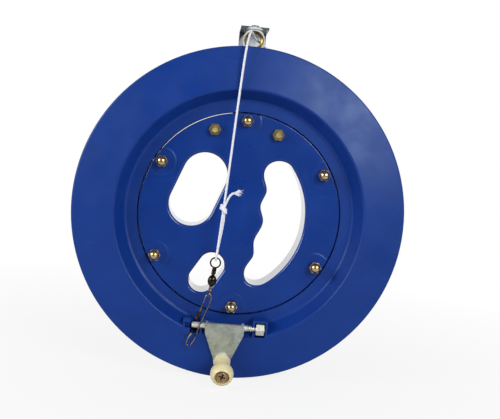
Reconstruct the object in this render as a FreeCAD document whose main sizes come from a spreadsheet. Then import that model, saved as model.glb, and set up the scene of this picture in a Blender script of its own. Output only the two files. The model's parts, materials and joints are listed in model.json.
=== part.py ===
import FreeCAD, Part
import math
import os
import Sketcher

# A hand-held kite line winder. A grip disc is held through its finger holes.
# A spool wheel turns round it on six ball bearings, driven by a folding crank,
# and a bracket behind the disc leads the line in over the rim.
# Frame: Y is the wheel's axis with the front at -Y, Z points up through the
# line guide, and the origin is on the axis, midway between the wheel halves.

V = FreeCAD.Vector
X_AXIS = V(1, 0, 0)
Y_AXIS = V(0, 1, 0)
TURN_Y_TO_FRONT = FreeCAD.Rotation(X_AXIS, 90)

doc = FreeCAD.newDocument("kite_line_winder")
sheet = doc.addObject("Spreadsheet::Sheet", "Sheet")
row = 0


def size(name, content):
    global row
    row += 1
    sheet.set("A%d" % row, name)
    sheet.set("B%d" % row, str(content))
    sheet.setAlias("B%d" % row, name)


SIZES = {
    # Spool wheel: two moulded halves that meet on the mid-plane.
    "rim_radius": 108.8,
    "rim_front": 16,
    "flange_front": 22,
    "flange_wall": 3,
    "recess_edge_radius": 80.8,
    "recess_foot_radius": 74.7,
    "rear_foot_radius": 80.8,
    "floor_front": 11.5,
    "floor_wall": 2.5,
    "bore_radius": 67,
    "track_half_width": 3.2,
    "track_wall": 2.75,
    "drum_radius": 86,
    "drum_wall": 2.5,
    "edge_round": 1.4,
    "foot_round": 2.5,
    "rim_round": 1.2,
    # Screws that hold the wheel halves together.
    "screw_circle": 77,
    "screw_count": 6,
    "screw_radius": 1.5,
    "screw_head_radius": 2.8,
    "screw_head_height": 2,
    "screw_reach": 7.5,
    "screw_boss_radius": 3.5,
    "screw_play": 0.05,
    # Grip disc: two moulded plates with walls round the three hand openings.
    "grip_radius": 66.2,
    "grip_front": 12,
    "grip_wall": 3,
    "opening_wall": 2.5,
    "skirt_depth": 3.5,
    "opening_round": 2,
    "grip_edge_round": 0.8,
    "palm_radius": 14.6,
    "lock_radius": 8.5,
    # Ball bearings that the wheel runs on, with their bolts and dome nuts.
    "bearing_count": 6,
    "bolt_circle": 61.2,
    "bearing_radius": 8,
    "bearing_width": 5,
    "bearing_ring_wall": 1.25,
    "bearing_hub_radius": 3.9,
    "bearing_ball_radius": 1.38,
    "bearing_ball_count": 7,
    "track_play": 0.05,
    "bolt_radius": 2.5,
    "bolt_play": 0.05,
    "bolt_head_across": 8,
    "bolt_head_height": 3.5,
    "boss_radius": 3.7,
    "pad_radius": 4.1,
    "pad_height": 0.6,
    "dome_nut_across": 7,
    "dome_nut_hex_height": 3.4,
    "dome_nut_height": 7.5,
    "dome_nut_radius": 3.3,
    "dome_nut_bore_depth": 5.2,
    # Line guide: a bent strip on the rear plate with a lined ring over the spool.
    "guide_width": 18.5,
    "guide_wall": 1.5,
    "guide_foot_width": 54,
    "guide_foot_low": 47,
    "guide_foot_high": 60,
    "guide_step_low": 64,
    "guide_step_high": 77,
    "guide_clearance": 1.5,
    "guide_window_play": 0.6,
    "guide_top": 123,
    "guide_lip_front": 3,
    "guide_bolt_spread": 41.3,
    "guide_bolt_height": 54,
    "guide_bolt_radius": 2,
    "guide_nut_across": 7,
    "guide_nut_height": 3.2,
    "guide_head_radius": 3.8,
    "guide_head_height": 2.6,
    "ring_radius": 7.3,
    "ring_bush_radius": 5.6,
    "ring_bore_radius": 4.5,
    "ring_width": 4,
    "ring_stem_radius": 1.5,
    "rivet_head_radius": 2.5,
    "rivet_head_height": 1,
    # Crank hinge: a rod across the recess, in two moulded pockets.
    "hinge_radius": 73.7,
    "hinge_front": 19.5,
    "rod_radius": 2,
    "rod_play": 0.05,
    "rod_left": 29.3,
    "rod_right": 23,
    "hinge_nut_start": 17.2,
    "hinge_nut_across": 7,
    "hinge_nut_height": 5.2,
    "nut_pocket_near": 16.4,
    "nut_pocket_far": 23.2,
    "catch_near": 19.5,
    "catch_far": 25.8,
    "pocket_wall": 1.4,
    "pocket_floor": 12.6,
    "pocket_low": 78.8,
    "pocket_high": 69.2,
    "pocket_top": 21.8,
    "rod_slot": 3.6,
    # Crank: a bent plate with two ears, and a knob on a flanged bush.
    "crank_offset": -3.4,
    "crank_wall": 1.5,
    "crank_top_width": 21.5,
    "crank_width": 25.2,
    "crank_above_hinge": 4.3,
    "crank_shoulder_high": 1.5,
    "crank_shoulder_low": 2.6,
    "crank_end_radius": 5.9,
    "crank_arm": 20.2,
    "crank_rest_gap": 0.3,
    "ear_radius": 3.2,
    "ear_play": 0.08,
    "bush_flange_radius": 4.4,
    "bush_flange_height": 4.5,
    "bush_radius": 2.6,
    "bush_length": 22.2,
    "knob_play": 0.05,
    "knob_base_gap": 0.3,
    "knob_end_play": 0.2,
    "collar_base_radius": 5.6,
    "collar_radius": 5,
    "collar_base_height": 3,
    "ball_radius": 7.4,
    "ball_height": 20,
    "counterbore_radius": 4.85,
    "knob_screw_radius": 2,
    "knob_screw_head_radius": 3.7,
    "knob_screw_head_height": 2.4,
    # Swivel and snap on the end of the line, the snap hooked round the rod.
    "swivel_x": -14.3,
    "swivel_front": 24,
    "swivel_z": -43,
    "swivel_lean": 5.9,
    "barrel_radius": 2.85,
    "barrel_collar_radius": 1.5,
    "barrel_half_length": 3.5,
    "barrel_bore_radius": 0.72,
    "barrel_cavity_radius": 1.5,
    "barrel_cavity_half": 1.8,
    "eye_wire_radius": 0.5,
    "eye_shank_radius": 0.65,
    "eye_head_radius": 1.2,
    "eye_head_start": 0.5,
    "eye_twist_radius": 1.1,
    "eye_twist_start": 4,
    "upper_eye_radius": 3.2,
    "upper_eye_height": 11.9,
    "lower_eye_radius": 1.9,
    "lower_eye_height": 9,
    "snap_wire_radius": 0.45,
    "clasp_length": 4.1,
    "clasp_play": 0.03,
    "clasp_width": 2.6,
    "clasp_thickness": 1.5,
    # Line.
    "line_radius": 0.75,
    "winding_height": 3,
    "winding_half_width": 15,
    "winding_gap": 0.1,
    "knot_radius": 1.8,
}
for alias, value in SIZES.items():
    size(alias, value)

# Worked out from the sizes above.
size("rim_back", "=rim_front - flange_wall")
size("cone_slope", "=(flange_front - rim_front) / (rim_radius - recess_edge_radius)")
size("cone_angle", "=atan(cone_slope)")
size("flange_back", "=flange_front - (drum_radius - recess_edge_radius) * cone_slope - flange_wall")
size("drum_inner_radius", "=drum_radius - drum_wall")
size("void_top", "=flange_front - (drum_inner_radius - recess_edge_radius) * cone_slope - flange_wall")
size("floor_back", "=floor_front - floor_wall")
size("void_foot_radius", "=recess_foot_radius + floor_wall")
size("track_radius", "=bolt_circle + bearing_radius + track_play")
size("track_outer_radius", "=track_radius + track_wall")
size("bearing_half", "=bearing_width / 2")
size("bearing_inner", "=bearing_radius - bearing_ring_wall")
size("bolt_bore", "=bolt_radius + bolt_play")
size("dome_base", "=grip_front + pad_height")
size("dome_centre", "=dome_base + dome_nut_height - dome_nut_radius")
size("bolt_length", "=grip_front + dome_base + dome_nut_bore_depth - 0.3")
size("guide_arm_back", "=flange_front + guide_clearance + guide_wall")
size("guide_arm_front", "=flange_front + guide_clearance")
size("guide_foot_back", "=grip_front + guide_wall")
size("guide_lip_under", "=guide_top - guide_wall")
size("guide_half_width", "=guide_width / 2")
size("guide_foot_half", "=guide_foot_width / 2")
size("guide_bolt_side", "=guide_bolt_spread / 2")
size("ring_height", "=guide_lip_under - ring_radius")
size("ring_half_width", "=ring_width / 2")
size("ring_flare_radius", "=ring_bush_radius + 0.7")
size("ring_flare_front", "=ring_half_width + 0.6")
size("plate_stand", "=(recess_edge_radius - hinge_radius) * sin(cone_angle)"
     " + (flange_front - hinge_front) * cos(cone_angle) + crank_rest_gap")
size("plate_face", "=plate_stand + crank_wall")
size("crank_left", "=crank_offset - crank_width / 2")
size("crank_right", "=crank_offset + crank_width / 2")
size("crank_top_left", "=crank_offset - crank_top_width / 2")
size("crank_top_right", "=crank_offset + crank_top_width / 2")
size("crank_end_left", "=crank_offset - crank_end_radius")
size("crank_end_right", "=crank_offset + crank_end_radius")
size("knob_y", "=crank_arm * sin(cone_angle) - hinge_front")
size("knob_z", "=0 - crank_arm * cos(cone_angle) - hinge_radius")
size("knob_base", "=plate_face + bush_flange_height + knob_base_gap")
size("collar_top", "=knob_base + collar_base_height")
size("ball_centre", "=plate_face + ball_height")
size("bush_end", "=plate_face + bush_length")
size("bush_flange_top", "=plate_face + bush_flange_height")
size("counterbore_floor", "=bush_end - knob_end_play")
size("screw_head_end", "=bush_end + knob_screw_head_height")
doc.recompute()


def number(term):
    """The value of a cell, with a leading minus for its opposite."""
    if term == "0":
        return 0.0
    if term.startswith("-"):
        return -number(term[1:])
    found = getattr(sheet, term)
    return float(getattr(found, "Value", found))


def formula(term):
    if term.startswith("-"):
        return "-Sheet." + term[1:]
    return "Sheet." + term


def pin(sketch, kind, index, point, term):
    """Hold one point of the sketch at a cell's distance from its origin."""
    spot = sketch.addConstraint(Sketcher.Constraint(kind, -1, 1, index, point, number(term)))
    if term != "0":
        sketch.setExpression("Constraints[%d]" % spot, formula(term))


def body_of(name):
    body = doc.addObject("PartDesign::Body", name)
    body.Label = name
    return body


def origin_of(body, role):
    return [item for item in body.Origin.OriginFeatures if item.Role == role][0]


def sketch_on(body, name, role, lift="0"):
    """A sketch on a plane of the body, lifted along the plane's normal."""
    sketch = body.newObject("Sketcher::SketchObject", name)
    sketch.AttachmentSupport = [(origin_of(body, role), "")]
    sketch.MapMode = "FlatFace"
    if lift != "0":
        sketch.setExpression("AttachmentOffset.Base.z", formula(lift))
    return sketch


def polygon(sketch, corners):
    spots = [V(number(across), number(up), 0) for across, up in corners]
    first = sketch.GeometryCount
    count = len(spots)
    for index in range(count):
        sketch.addGeometry(Part.LineSegment(spots[index], spots[(index + 1) % count]), False)
    for index in range(count):
        following = first + (index + 1) % count
        sketch.addConstraint(Sketcher.Constraint("Coincident", first + index, 2, following, 1))
    for index, (across, up) in enumerate(corners):
        pin(sketch, "DistanceX", first + index, 1, across)
        pin(sketch, "DistanceY", first + index, 1, up)


def circle(sketch, across, up, radius):
    middle = V(number(across), number(up), 0)
    index = sketch.addGeometry(Part.Circle(middle, V(0, 0, 1), number(radius)), False)
    pin(sketch, "DistanceX", index, 3, across)
    pin(sketch, "DistanceY", index, 3, up)
    spot = sketch.addConstraint(Sketcher.Constraint("Radius", index, number(radius)))
    sketch.setExpression("Constraints[%d]" % spot, formula(radius))


def hexagon(sketch, across, up, width):
    """A regular hexagon, its corners on a construction circle."""
    middle = V(number(across), number(up), 0)
    reach = number(width) / 2 / math.cos(math.radians(30))
    ring = sketch.addGeometry(Part.Circle(middle, V(0, 0, 1), reach), True)
    pin(sketch, "DistanceX", ring, 3, across)
    pin(sketch, "DistanceY", ring, 3, up)
    spot = sketch.addConstraint(Sketcher.Constraint("Radius", ring, reach))
    sketch.setExpression("Constraints[%d]" % spot, formula(width) + " / 2 / cos(30)")
    corners = []
    for step in range(6):
        turn = math.radians(60 * step)
        corners.append(middle + V(reach * math.cos(turn), reach * math.sin(turn), 0))
    first = sketch.GeometryCount
    for step in range(6):
        sketch.addGeometry(Part.LineSegment(corners[step], corners[(step + 1) % 6]), False)
    for step in range(6):
        following = first + (step + 1) % 6
        sketch.addConstraint(Sketcher.Constraint("Coincident", first + step, 2, following, 1))
        sketch.addConstraint(Sketcher.Constraint("PointOnObject", first + step, 1, ring))
    for step in range(1, 6):
        sketch.addConstraint(Sketcher.Constraint("Equal", first, first + step))
    pin(sketch, "DistanceY", first, 1, up)


def pad(body, name, sketch, length):
    """Add material from the sketch along its plane's normal."""
    feature = body.newObject("PartDesign::Pad", name)
    feature.Profile = sketch
    feature.setExpression("Length", formula(length))
    doc.recompute()
    return feature


def cut(body, name, sketch, length):
    """Take material from the sketch along its plane's normal."""
    before = body.Shape.Volume
    feature = body.newObject("PartDesign::Pocket", name)
    feature.Profile = sketch
    feature.Reversed = True
    feature.setExpression("Length", formula(length))
    doc.recompute()
    if body.Shape.Volume > before - 1e-3:
        raise RuntimeError(name + " cuts nothing")
    return feature


def revolve(body, name, sketch, axis="V_Axis"):
    feature = body.newObject("PartDesign::Revolution", name)
    feature.Profile = sketch
    feature.ReferenceAxis = (sketch, [axis])
    feature.Angle = 360
    doc.recompute()
    return feature


def pattern(body, name, originals, count, whole=False):
    """Repeat features, or the whole body, round the wheel's axis."""
    feature = body.newObject("PartDesign::PolarPattern", name)
    if whole:
        feature.TransformMode = "Whole shape"
    else:
        feature.Originals = originals
    feature.Axis = (origin_of(body, "Y_Axis"), [""])
    feature.Angle = 360
    feature.setExpression("Occurrences", formula(count))
    body.Tip = feature
    doc.recompute()
    return feature


def sphere(body, name, across, depth, up, radius):
    """Add a ball centred at the three cells."""
    feature = body.newObject("PartDesign::AdditiveSphere", name)
    feature.setExpression("Radius", formula(radius))
    for part, term in (("x", across), ("y", depth), ("z", up)):
        if term != "0":
            feature.setExpression("Placement.Base." + part, formula(term))
    doc.recompute()
    return feature


def rounds(body, name, base, wanted, radius):
    """Fillet the circular edges that lie at the wanted radius and depth."""
    names = []
    for index, edge in enumerate(base.Shape.Edges):
        curve = edge.Curve
        if not isinstance(curve, Part.Circle):
            continue
        for ring, depth in wanted:
            if abs(curve.Radius - number(ring)) < 1e-4 and abs(curve.Center.y - number(depth)) < 1e-4:
                names.append("Edge%d" % (index + 1))
    feature = body.newObject("PartDesign::Fillet", name)
    feature.Base = (base, names)
    feature.setExpression("Radius", formula(radius))
    doc.recompute()
    return feature


def place(item, depth="0", up="0", across="0"):
    for part, term in (("x", across), ("y", depth), ("z", up)):
        if term != "0":
            item.setExpression("Placement.Base." + part, formula(term))


def place_on_crank(body, depth, up, across="0"):
    """Lean a crank piece back along the flange's cone."""
    body.Placement = FreeCAD.Placement(V(0, 0, 0), FreeCAD.Rotation(X_AXIS, number("cone_angle")))
    body.setExpression("Placement.Rotation.Angle", formula("cone_angle"))
    place(body, depth, up, across)


# ---------------------------------------------------------------- spool wheel

def front_half():
    body = body_of("front_wheel_half")
    profile = sketch_on(body, "front_profile", "XY_Plane")
    polygon(profile, [
        ("bore_radius", "-floor_front"), ("recess_foot_radius", "-floor_front"),
        ("recess_edge_radius", "-flange_front"), ("rim_radius", "-rim_front"),
        ("rim_radius", "-rim_back"), ("drum_radius", "-flange_back"),
        ("drum_radius", "0"), ("drum_inner_radius", "0"),
        ("drum_inner_radius", "-void_top"), ("void_foot_radius", "-floor_back"),
        ("track_outer_radius", "-floor_back"), ("track_outer_radius", "0"),
        ("track_radius", "0"), ("track_radius", "-track_half_width"),
        ("bore_radius", "-track_half_width")])
    shell = revolve(body, "front_shell", profile)
    shell = rounds(body, "front_foot", shell, [("recess_foot_radius", "-floor_front")], "foot_round")
    shell = rounds(body, "front_edge", shell, [("recess_edge_radius", "-flange_front")], "edge_round")
    rounds(body, "front_rim", shell,
           [("rim_radius", "-rim_front"), ("rim_radius", "-rim_back")], "rim_round")
    hinge_pockets(body)
    rod_seats(body)
    boss = sketch_on(body, "front_boss_sketch", "XZ_Plane")
    circle(boss, "screw_circle", "0", "screw_boss_radius")
    boss_pad = pad(body, "front_boss", boss, "front_boss_length")
    pilot = sketch_on(body, "pilot_sketch", "XZ_Plane")
    circle(pilot, "screw_circle", "0", "screw_bore_radius")
    pilot_cut = cut(body, "pilot", pilot, "pilot_depth")
    pattern(body, "front_bosses", [boss_pad, pilot_cut], "screw_count")


def box_outline(sketch, near, far, low, high):
    polygon(sketch, [(near, low), (far, low), (far, high), (near, high)])


def hinge_pockets(body):
    """Walled boxes moulded into the recess. The right one holds the nut. The
    left one is open towards the middle, so that the snap can hook the rod."""
    block = sketch_on(body, "pocket_block_sketch", "XZ_Plane", "block_start")
    box_outline(block, "-catch_far_wall", "-catch_near_wall", "-block_low", "-pocket_high")
    box_outline(block, "nut_pocket_near_wall", "nut_pocket_far_wall", "-block_low", "-block_high")
    pad(body, "pocket_blocks", block, "block_length")
    pocket = sketch_on(body, "pocket_sketch", "XZ_Plane", "pocket_floor")
    box_outline(pocket, "-catch_far", "-catch_near", "-pocket_low", "-block_high")
    box_outline(pocket, "nut_pocket_near", "nut_pocket_far", "-pocket_low", "-pocket_high")
    cut(body, "pockets", pocket, "pocket_length")


def rod_seats(body):
    """The rod lies in round seats and is pressed in through a narrower slot."""
    rod = sketch_on(body, "rod_seat_sketch", "YZ_Plane", "-rod_seat_end")
    circle(rod, "-hinge_front", "-hinge_radius", "rod_seat_radius")
    cut(body, "rod_seat", rod, "rod_seat_length")
    slot_sketch = sketch_on(body, "rod_slot_sketch", "XZ_Plane", "hinge_front")
    box_outline(slot_sketch, "-rod_seat_end", "nut_pocket_near", "-rod_slot_low", "-rod_slot_high")
    cut(body, "rod_slot_cut", slot_sketch, "rod_slot_length")


def rear_half():
    body = body_of("rear_wheel_half")
    profile = sketch_on(body, "rear_profile", "XY_Plane")
    polygon(profile, [
        ("bore_radius", "floor_front"), ("bore_radius", "track_half_width"),
        ("track_radius", "track_half_width"), ("track_radius", "0"),
        ("track_outer_radius", "0"), ("track_outer_radius", "floor_back"),
        ("drum_inner_radius", "floor_back"), ("drum_inner_radius", "0"),
        ("drum_radius", "0"), ("drum_radius", "flange_back"),
        ("rim_radius", "rim_back"), ("rim_radius", "rim_front"),
        ("recess_edge_radius", "flange_front"), ("rear_foot_radius", "floor_front")])
    shell = revolve(body, "rear_shell", profile)
    shell = rounds(body, "rear_edge", shell, [("recess_edge_radius", "flange_front")], "edge_round")
    rounds(body, "rear_rim", shell,
           [("rim_radius", "rim_front"), ("rim_radius", "rim_back")], "rim_round")
    boss = sketch_on(body, "rear_boss_sketch", "XZ_Plane", "-rear_boss_start")
    circle(boss, "screw_circle", "0", "screw_boss_radius")
    boss_pad = pad(body, "rear_boss", boss, "rear_boss_start")
    hole = sketch_on(body, "screw_hole_sketch", "XZ_Plane", "-floor_front")
    circle(hole, "screw_circle", "0", "screw_bore_radius")
    hole_cut = cut(body, "screw_hole", hole, "floor_front")
    pattern(body, "rear_bosses", [boss_pad, hole_cut], "screw_count")


def wheel_screws():
    body = body_of("wheel_screws")
    head = sketch_on(body, "screw_head_sketch", "XZ_Plane", "-screw_head_back")
    circle(head, "screw_circle", "0", "screw_head_radius")
    pad(body, "screw_head", head, "screw_head_height")
    shank = sketch_on(body, "screw_shank_sketch", "XZ_Plane", "-floor_front")
    circle(shank, "screw_circle", "0", "screw_radius")
    pad(body, "screw_shank", shank, "screw_length")
    pattern(body, "screw_ring", [], "screw_count", whole=True)


size("rod_seat_end", "=rod_left + rod_play")
size("rod_seat_radius", "=rod_radius + rod_play")
size("rod_seat_length", "=rod_seat_end + nut_pocket_near + 0.1")
size("rod_slot_low", "=hinge_radius + rod_slot / 2")
size("rod_slot_high", "=hinge_radius - rod_slot / 2")
size("rod_slot_length", "=flange_front + 1 - hinge_front")
size("nut_pocket_near_wall", "=nut_pocket_near - pocket_wall")
size("nut_pocket_far_wall", "=nut_pocket_far + pocket_wall")
size("catch_near_wall", "=catch_near - pocket_wall")
size("catch_far_wall", "=rod_seat_end + pocket_wall")
size("block_low", "=pocket_low + 1.1")
size("block_high", "=pocket_high - pocket_wall")
size("block_start", "=floor_back + floor_wall / 2")
size("block_length", "=pocket_top - block_start")
size("pocket_length", "=flange_front + 1 - pocket_floor")
size("front_boss_length", "=floor_back + 1")
size("screw_bore_radius", "=screw_radius + screw_play")
size("pilot_depth", "=screw_reach + 0.5")
size("rear_boss_start", "=floor_back + 0.5")
size("screw_head_back", "=floor_front + screw_head_height")
size("screw_length", "=floor_front + screw_reach")
doc.recompute()
front_half()
rear_half()
wheel_screws()


# ------------------------------------------------------------------ grip disc

def cylinder(name, radius, length, depth, across="0", up="0"):
    """A cylinder along Y whose rear end is at the depth and front end nearer."""
    item = doc.addObject("Part::Cylinder", name)
    item.Placement = FreeCAD.Placement(V(0, 0, 0), TURN_Y_TO_FRONT)
    item.setExpression("Radius", formula(radius))
    item.setExpression("Height", formula(length))
    place(item, depth, up, across)
    return item


def on_circle(name, radius, length, depth, angle):
    """A cylinder along Y on the bolt circle, at an angle from +X."""
    item = cylinder(name, radius, length, depth)
    item.setExpression("Placement.Base.x", "Sheet.bolt_circle * cos(%g)" % angle)
    item.setExpression("Placement.Base.z", "Sheet.bolt_circle * sin(%g)" % angle)
    return item


def opening(name):
    """A standing sketch in the plane of the disc."""
    sketch = doc.addObject("Sketcher::SketchObject", name)
    sketch.Placement = FreeCAD.Placement(V(0, 0, 0), TURN_Y_TO_FRONT)
    return sketch


def slot(name, start, finish, radius):
    """A slanted slot: two half circles and the straight sides between them."""
    sketch = opening(name)
    along = finish - start
    side = V(-along.y, along.x, 0)
    side.normalize()
    side = side * number(radius)
    lean = math.atan2(side.y, side.x)
    up = V(0, 0, 1)
    first = Part.ArcOfCircle(Part.Circle(start, up, number(radius)), lean, lean + math.pi)
    second = Part.ArcOfCircle(Part.Circle(finish, up, number(radius)), lean + math.pi, lean + 2 * math.pi)
    sketch.addGeometry(first, False)
    sketch.addGeometry(second, False)
    sketch.addGeometry(Part.LineSegment(start - side, finish - side), False)
    sketch.addGeometry(Part.LineSegment(finish + side, start + side), False)
    for one, end, other, begin in ((0, 2, 2, 1), (2, 2, 1, 1), (1, 2, 3, 1), (3, 2, 0, 1)):
        sketch.addConstraint(Sketcher.Constraint("Tangent", one, end, other, begin))
    for index, middle in ((0, start), (1, finish)):
        sketch.addConstraint(Sketcher.Constraint("DistanceX", -1, 1, index, 3, middle.x))
        sketch.addConstraint(Sketcher.Constraint("DistanceY", -1, 1, index, 3, middle.y))
    spot = sketch.addConstraint(Sketcher.Constraint("Radius", 0, number(radius)))
    sketch.setExpression("Constraints[%d]" % spot, formula(radius))
    return sketch


# The finger opening, round from its top right corner: a bow on the outer side,
# a round end, four finger hollows on the inner side and the other round end.
FINGER_POINTS = [
    V(31.6, 34.3, 0), V(38.0, 24.2, 0), V(42.4, 11.5, 0), V(43.5, 0, 0), V(42.4, -11.5, 0),
    V(38.0, -24.2, 0), V(31.0, -35.0, 0), V(23.6, -42.4, 0), V(19.2, -45.3, 0),
    V(14.6, -46.2, 0), V(9.6, -44.6, 0), V(6.9, -40.0, 0), V(8.0, -33.6, 0),
    V(11.8, -26.6, 0), V(11.4, -17.4, 0), V(14.2, -10.0, 0), V(16.2, -2.9, 0),
    V(13.7, 6.7, 0), V(16.8, 16.8, 0), V(14.2, 26.4, 0), V(15.6, 32.9, 0),
    V(20.6, 36.6, 0), V(26.6, 36.9, 0)]


FINGER_WALL_SAMPLES = 46


def smooth_loop(points):
    curve = Part.BSplineCurve()
    curve.interpolate(points, PeriodicFlag=True)
    return curve


def finger_opening():
    """One smooth closed curve through the points."""
    sketch = opening("finger_outline")
    sketch.addGeometry(smooth_loop(FINGER_POINTS), False)
    return sketch


def finger_wall():
    """The same curve moved outward by the thickness of the wall."""
    curve = smooth_loop(FINGER_POINTS)
    step = (curve.LastParameter - curve.FirstParameter) / FINGER_WALL_SAMPLES
    points = []
    for index in range(FINGER_WALL_SAMPLES):
        spot = curve.FirstParameter + index * step
        ahead = curve.tangent(spot)[0]
        outward = V(-ahead.y, ahead.x, 0)
        points.append(curve.value(spot) + outward * number("opening_wall"))
    sketch = opening("finger_wall_outline")
    sketch.addGeometry(smooth_loop(points), False)
    return sketch


def raise_outline(name, outline, length, depth):
    item = doc.addObject("Part::Extrusion", name)
    item.Base = outline
    item.DirMode = "Custom"
    item.Dir = V(0, -1, 0)
    item.Solid = True
    item.setExpression("LengthFwd", formula(length))
    place(item, depth)
    return item


def joined(name, items):
    item = doc.addObject("Part::MultiFuse", name)
    item.Shapes = items
    doc.recompute()
    return item


def taken(name, base, tool):
    item = doc.addObject("Part::Cut", name)
    item.Base = base
    item.Tool = tool
    doc.recompute()
    if item.Shape.Volume > base.Shape.Volume - 1e-3:
        raise RuntimeError(name + " cuts nothing")
    return item


def soften(name, base, depth, rim_only):
    """Round the outer rim, or every opening's edge, on the face at a depth."""
    level = number(depth)
    radius = number("grip_edge_round" if rim_only else "opening_round")
    picks = []
    for index, edge in enumerate(base.Shape.Edges):
        box = edge.BoundBox
        if abs(box.YMin - level) > 1e-4 or abs(box.YMax - level) > 1e-4:
            continue
        is_circle = isinstance(edge.Curve, Part.Circle)
        is_rim = is_circle and abs(edge.Curve.Radius - number("grip_radius")) < 1e-4
        is_bore = is_circle and edge.Curve.Radius < number("pad_radius") + 0.1
        if is_rim == rim_only and not is_bore:
            picks.append((index + 1, radius, radius))
    item = doc.addObject("Part::Fillet", name)
    item.Base = base
    item.Edges = picks
    doc.recompute()
    return item


BOLT_ANGLES = [30, 90, 150, 210, 270, 330]


def grip_plate(side, outlines, skins):
    """One plate of the disc. The side is front or rear."""
    front = side == "front"
    face = "grip_back" if front else "grip_front"
    items = [cylinder(side + "_face", "grip_radius", "grip_wall", "-" + face if front else face)]
    wall_start = "0" if front else "grip_back"
    ring = cylinder(side + "_skirt_outer", "grip_radius", "skirt_depth",
                    "-skirt_end" if front else "grip_back")
    hollow = cylinder(side + "_skirt_inner", "skirt_inner_radius", "skirt_depth",
                      "-skirt_end" if front else "grip_back")
    items.append(taken(side + "_skirt", ring, hollow))
    for index, skin in enumerate(skins):
        items.append(raise_outline("%s_wall_%d" % (side, index + 1), skin, "grip_back", wall_start))
    for angle in BOLT_ANGLES:
        start = "-bearing_half" if front else "grip_back"
        items.append(on_circle("%s_boss_%d" % (side, angle), "boss_radius", "boss_length", start, angle))
        if front:
            items.append(on_circle("pad_%d" % angle, "pad_radius", "pad_height", "-grip_front", angle))
    for hand in ("-guide_bolt_side", "guide_bolt_side"):
        items.append(cylinder(side + "_guide_boss", "boss_radius", "grip_back", wall_start,
                              hand, "guide_bolt_height"))
    solid = joined(side + "_plate_solid", items)
    reach = "0" if front else "plate_cut_back"
    tools = []
    for index, outline in enumerate(outlines):
        tools.append(raise_outline("%s_hole_%d" % (side, index + 1), outline, "plate_cut_back", reach))
    for angle in BOLT_ANGLES:
        tools.append(on_circle("%s_bore_%d" % (side, angle), "bolt_bore", "plate_cut_back", reach, angle))
    for hand in ("-guide_bolt_side", "guide_bolt_side"):
        tools.append(cylinder(side + "_guide_bore", "guide_bore", "plate_cut_back", reach,
                              hand, "guide_bolt_height"))
    holes = joined(side + "_plate_holes", tools)
    bored = taken(side + "_plate_bored", solid, holes)
    level = "-grip_front" if front else "grip_front"
    eased = soften(side + "_plate_openings", bored, level, False)
    plate = soften(side + "_grip_plate", eased, level, True)
    plate.Label = side + "_grip_plate"


size("grip_back", "=grip_front - grip_wall")
size("skirt_end", "=grip_back - skirt_depth")
size("skirt_inner_radius", "=grip_radius - opening_wall")
size("boss_length", "=grip_back - bearing_half")
size("plate_cut_back", "=grip_front + 2")
size("guide_bore", "=guide_bolt_radius + bolt_play")
size("palm_wall_radius", "=palm_radius + opening_wall")
size("lock_wall_radius", "=lock_radius + opening_wall")
doc.recompute()
PALM_ENDS = (V(-24.5, 24.0, 0), V(-32.0, 4.6, 0))
LOCK_ENDS = (V(-15.2, -35.2, 0), V(-21.2, -45.0, 0))
OUTLINES = [
    slot("palm_outline", PALM_ENDS[0], PALM_ENDS[1], "palm_radius"),
    slot("lock_outline", LOCK_ENDS[0], LOCK_ENDS[1], "lock_radius"), finger_opening()]
SKINS = [
    slot("palm_wall_outline", PALM_ENDS[0], PALM_ENDS[1], "palm_wall_radius"),
    slot("lock_wall_outline", LOCK_ENDS[0], LOCK_ENDS[1], "lock_wall_radius"), finger_wall()]
doc.recompute()
grip_plate("front", OUTLINES, SKINS)
grip_plate("rear", OUTLINES, SKINS)


# ------------------------------------------- bearings, bolts and dome nuts

def ring_profile(body, name, inner, outer, half, lift="0"):
    """A plain ring round Y, as wide as the two halves."""
    profile = sketch_on(body, name + "_profile", "XY_Plane", lift)
    polygon(profile, [(inner, "-" + half), (outer, "-" + half), (outer, half), (inner, half)])
    return revolve(body, name, profile)


def bearing_rings():
    for index, angle in enumerate(BOLT_ANGLES):
        name = "bearing_ring_%d" % (index + 1)
        body = body_of(name)
        ring_profile(body, name + "_turned", "bearing_inner", "bearing_radius", "bearing_half")
        body.setExpression("Placement.Base.x", "Sheet.bolt_circle * cos(%g)" % angle)
        body.setExpression("Placement.Base.z", "Sheet.bolt_circle * sin(%g)" % angle)


def bearing_hubs():
    body = body_of("bearing_hubs")
    ring_profile(body, "hub_turned", "bolt_bore", "bearing_hub_radius", "bearing_half", "bolt_circle")
    pattern(body, "hub_ring", [], "bearing_count", whole=True)


def bearing_balls():
    """All the balls of all the bearings, as one group of solids."""
    group = doc.addObject("Part::Feature", "bearing_balls")
    group.Label = "bearing_balls"
    pitch = (number("bearing_hub_radius") + number("bearing_inner")) / 2
    balls = []
    count = int(number("bearing_ball_count"))
    for angle in BOLT_ANGLES:
        turn = math.radians(angle)
        middle = V(math.cos(turn), 0, math.sin(turn)) * number("bolt_circle")
        for step in range(count):
            swing = 2 * math.pi * step / count
            spot = middle + V(math.cos(swing), 0, math.sin(swing)) * pitch
            balls.append(Part.makeSphere(number("bearing_ball_radius"), spot))
    group.Shape = Part.makeCompound(balls)


def bearing_bolts():
    body = body_of("bearing_bolts")
    head = sketch_on(body, "bolt_head_sketch", "XZ_Plane", "-bolt_head_back")
    hexagon(head, "0", "bolt_circle", "bolt_head_across")
    pad(body, "bolt_head", head, "bolt_head_height")
    shank = sketch_on(body, "bolt_shank_sketch", "XZ_Plane", "-grip_front")
    circle(shank, "0", "bolt_circle", "bolt_radius")
    pad(body, "bolt_shank", shank, "bolt_length")
    pattern(body, "bolt_ring", [], "bearing_count", whole=True)


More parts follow.
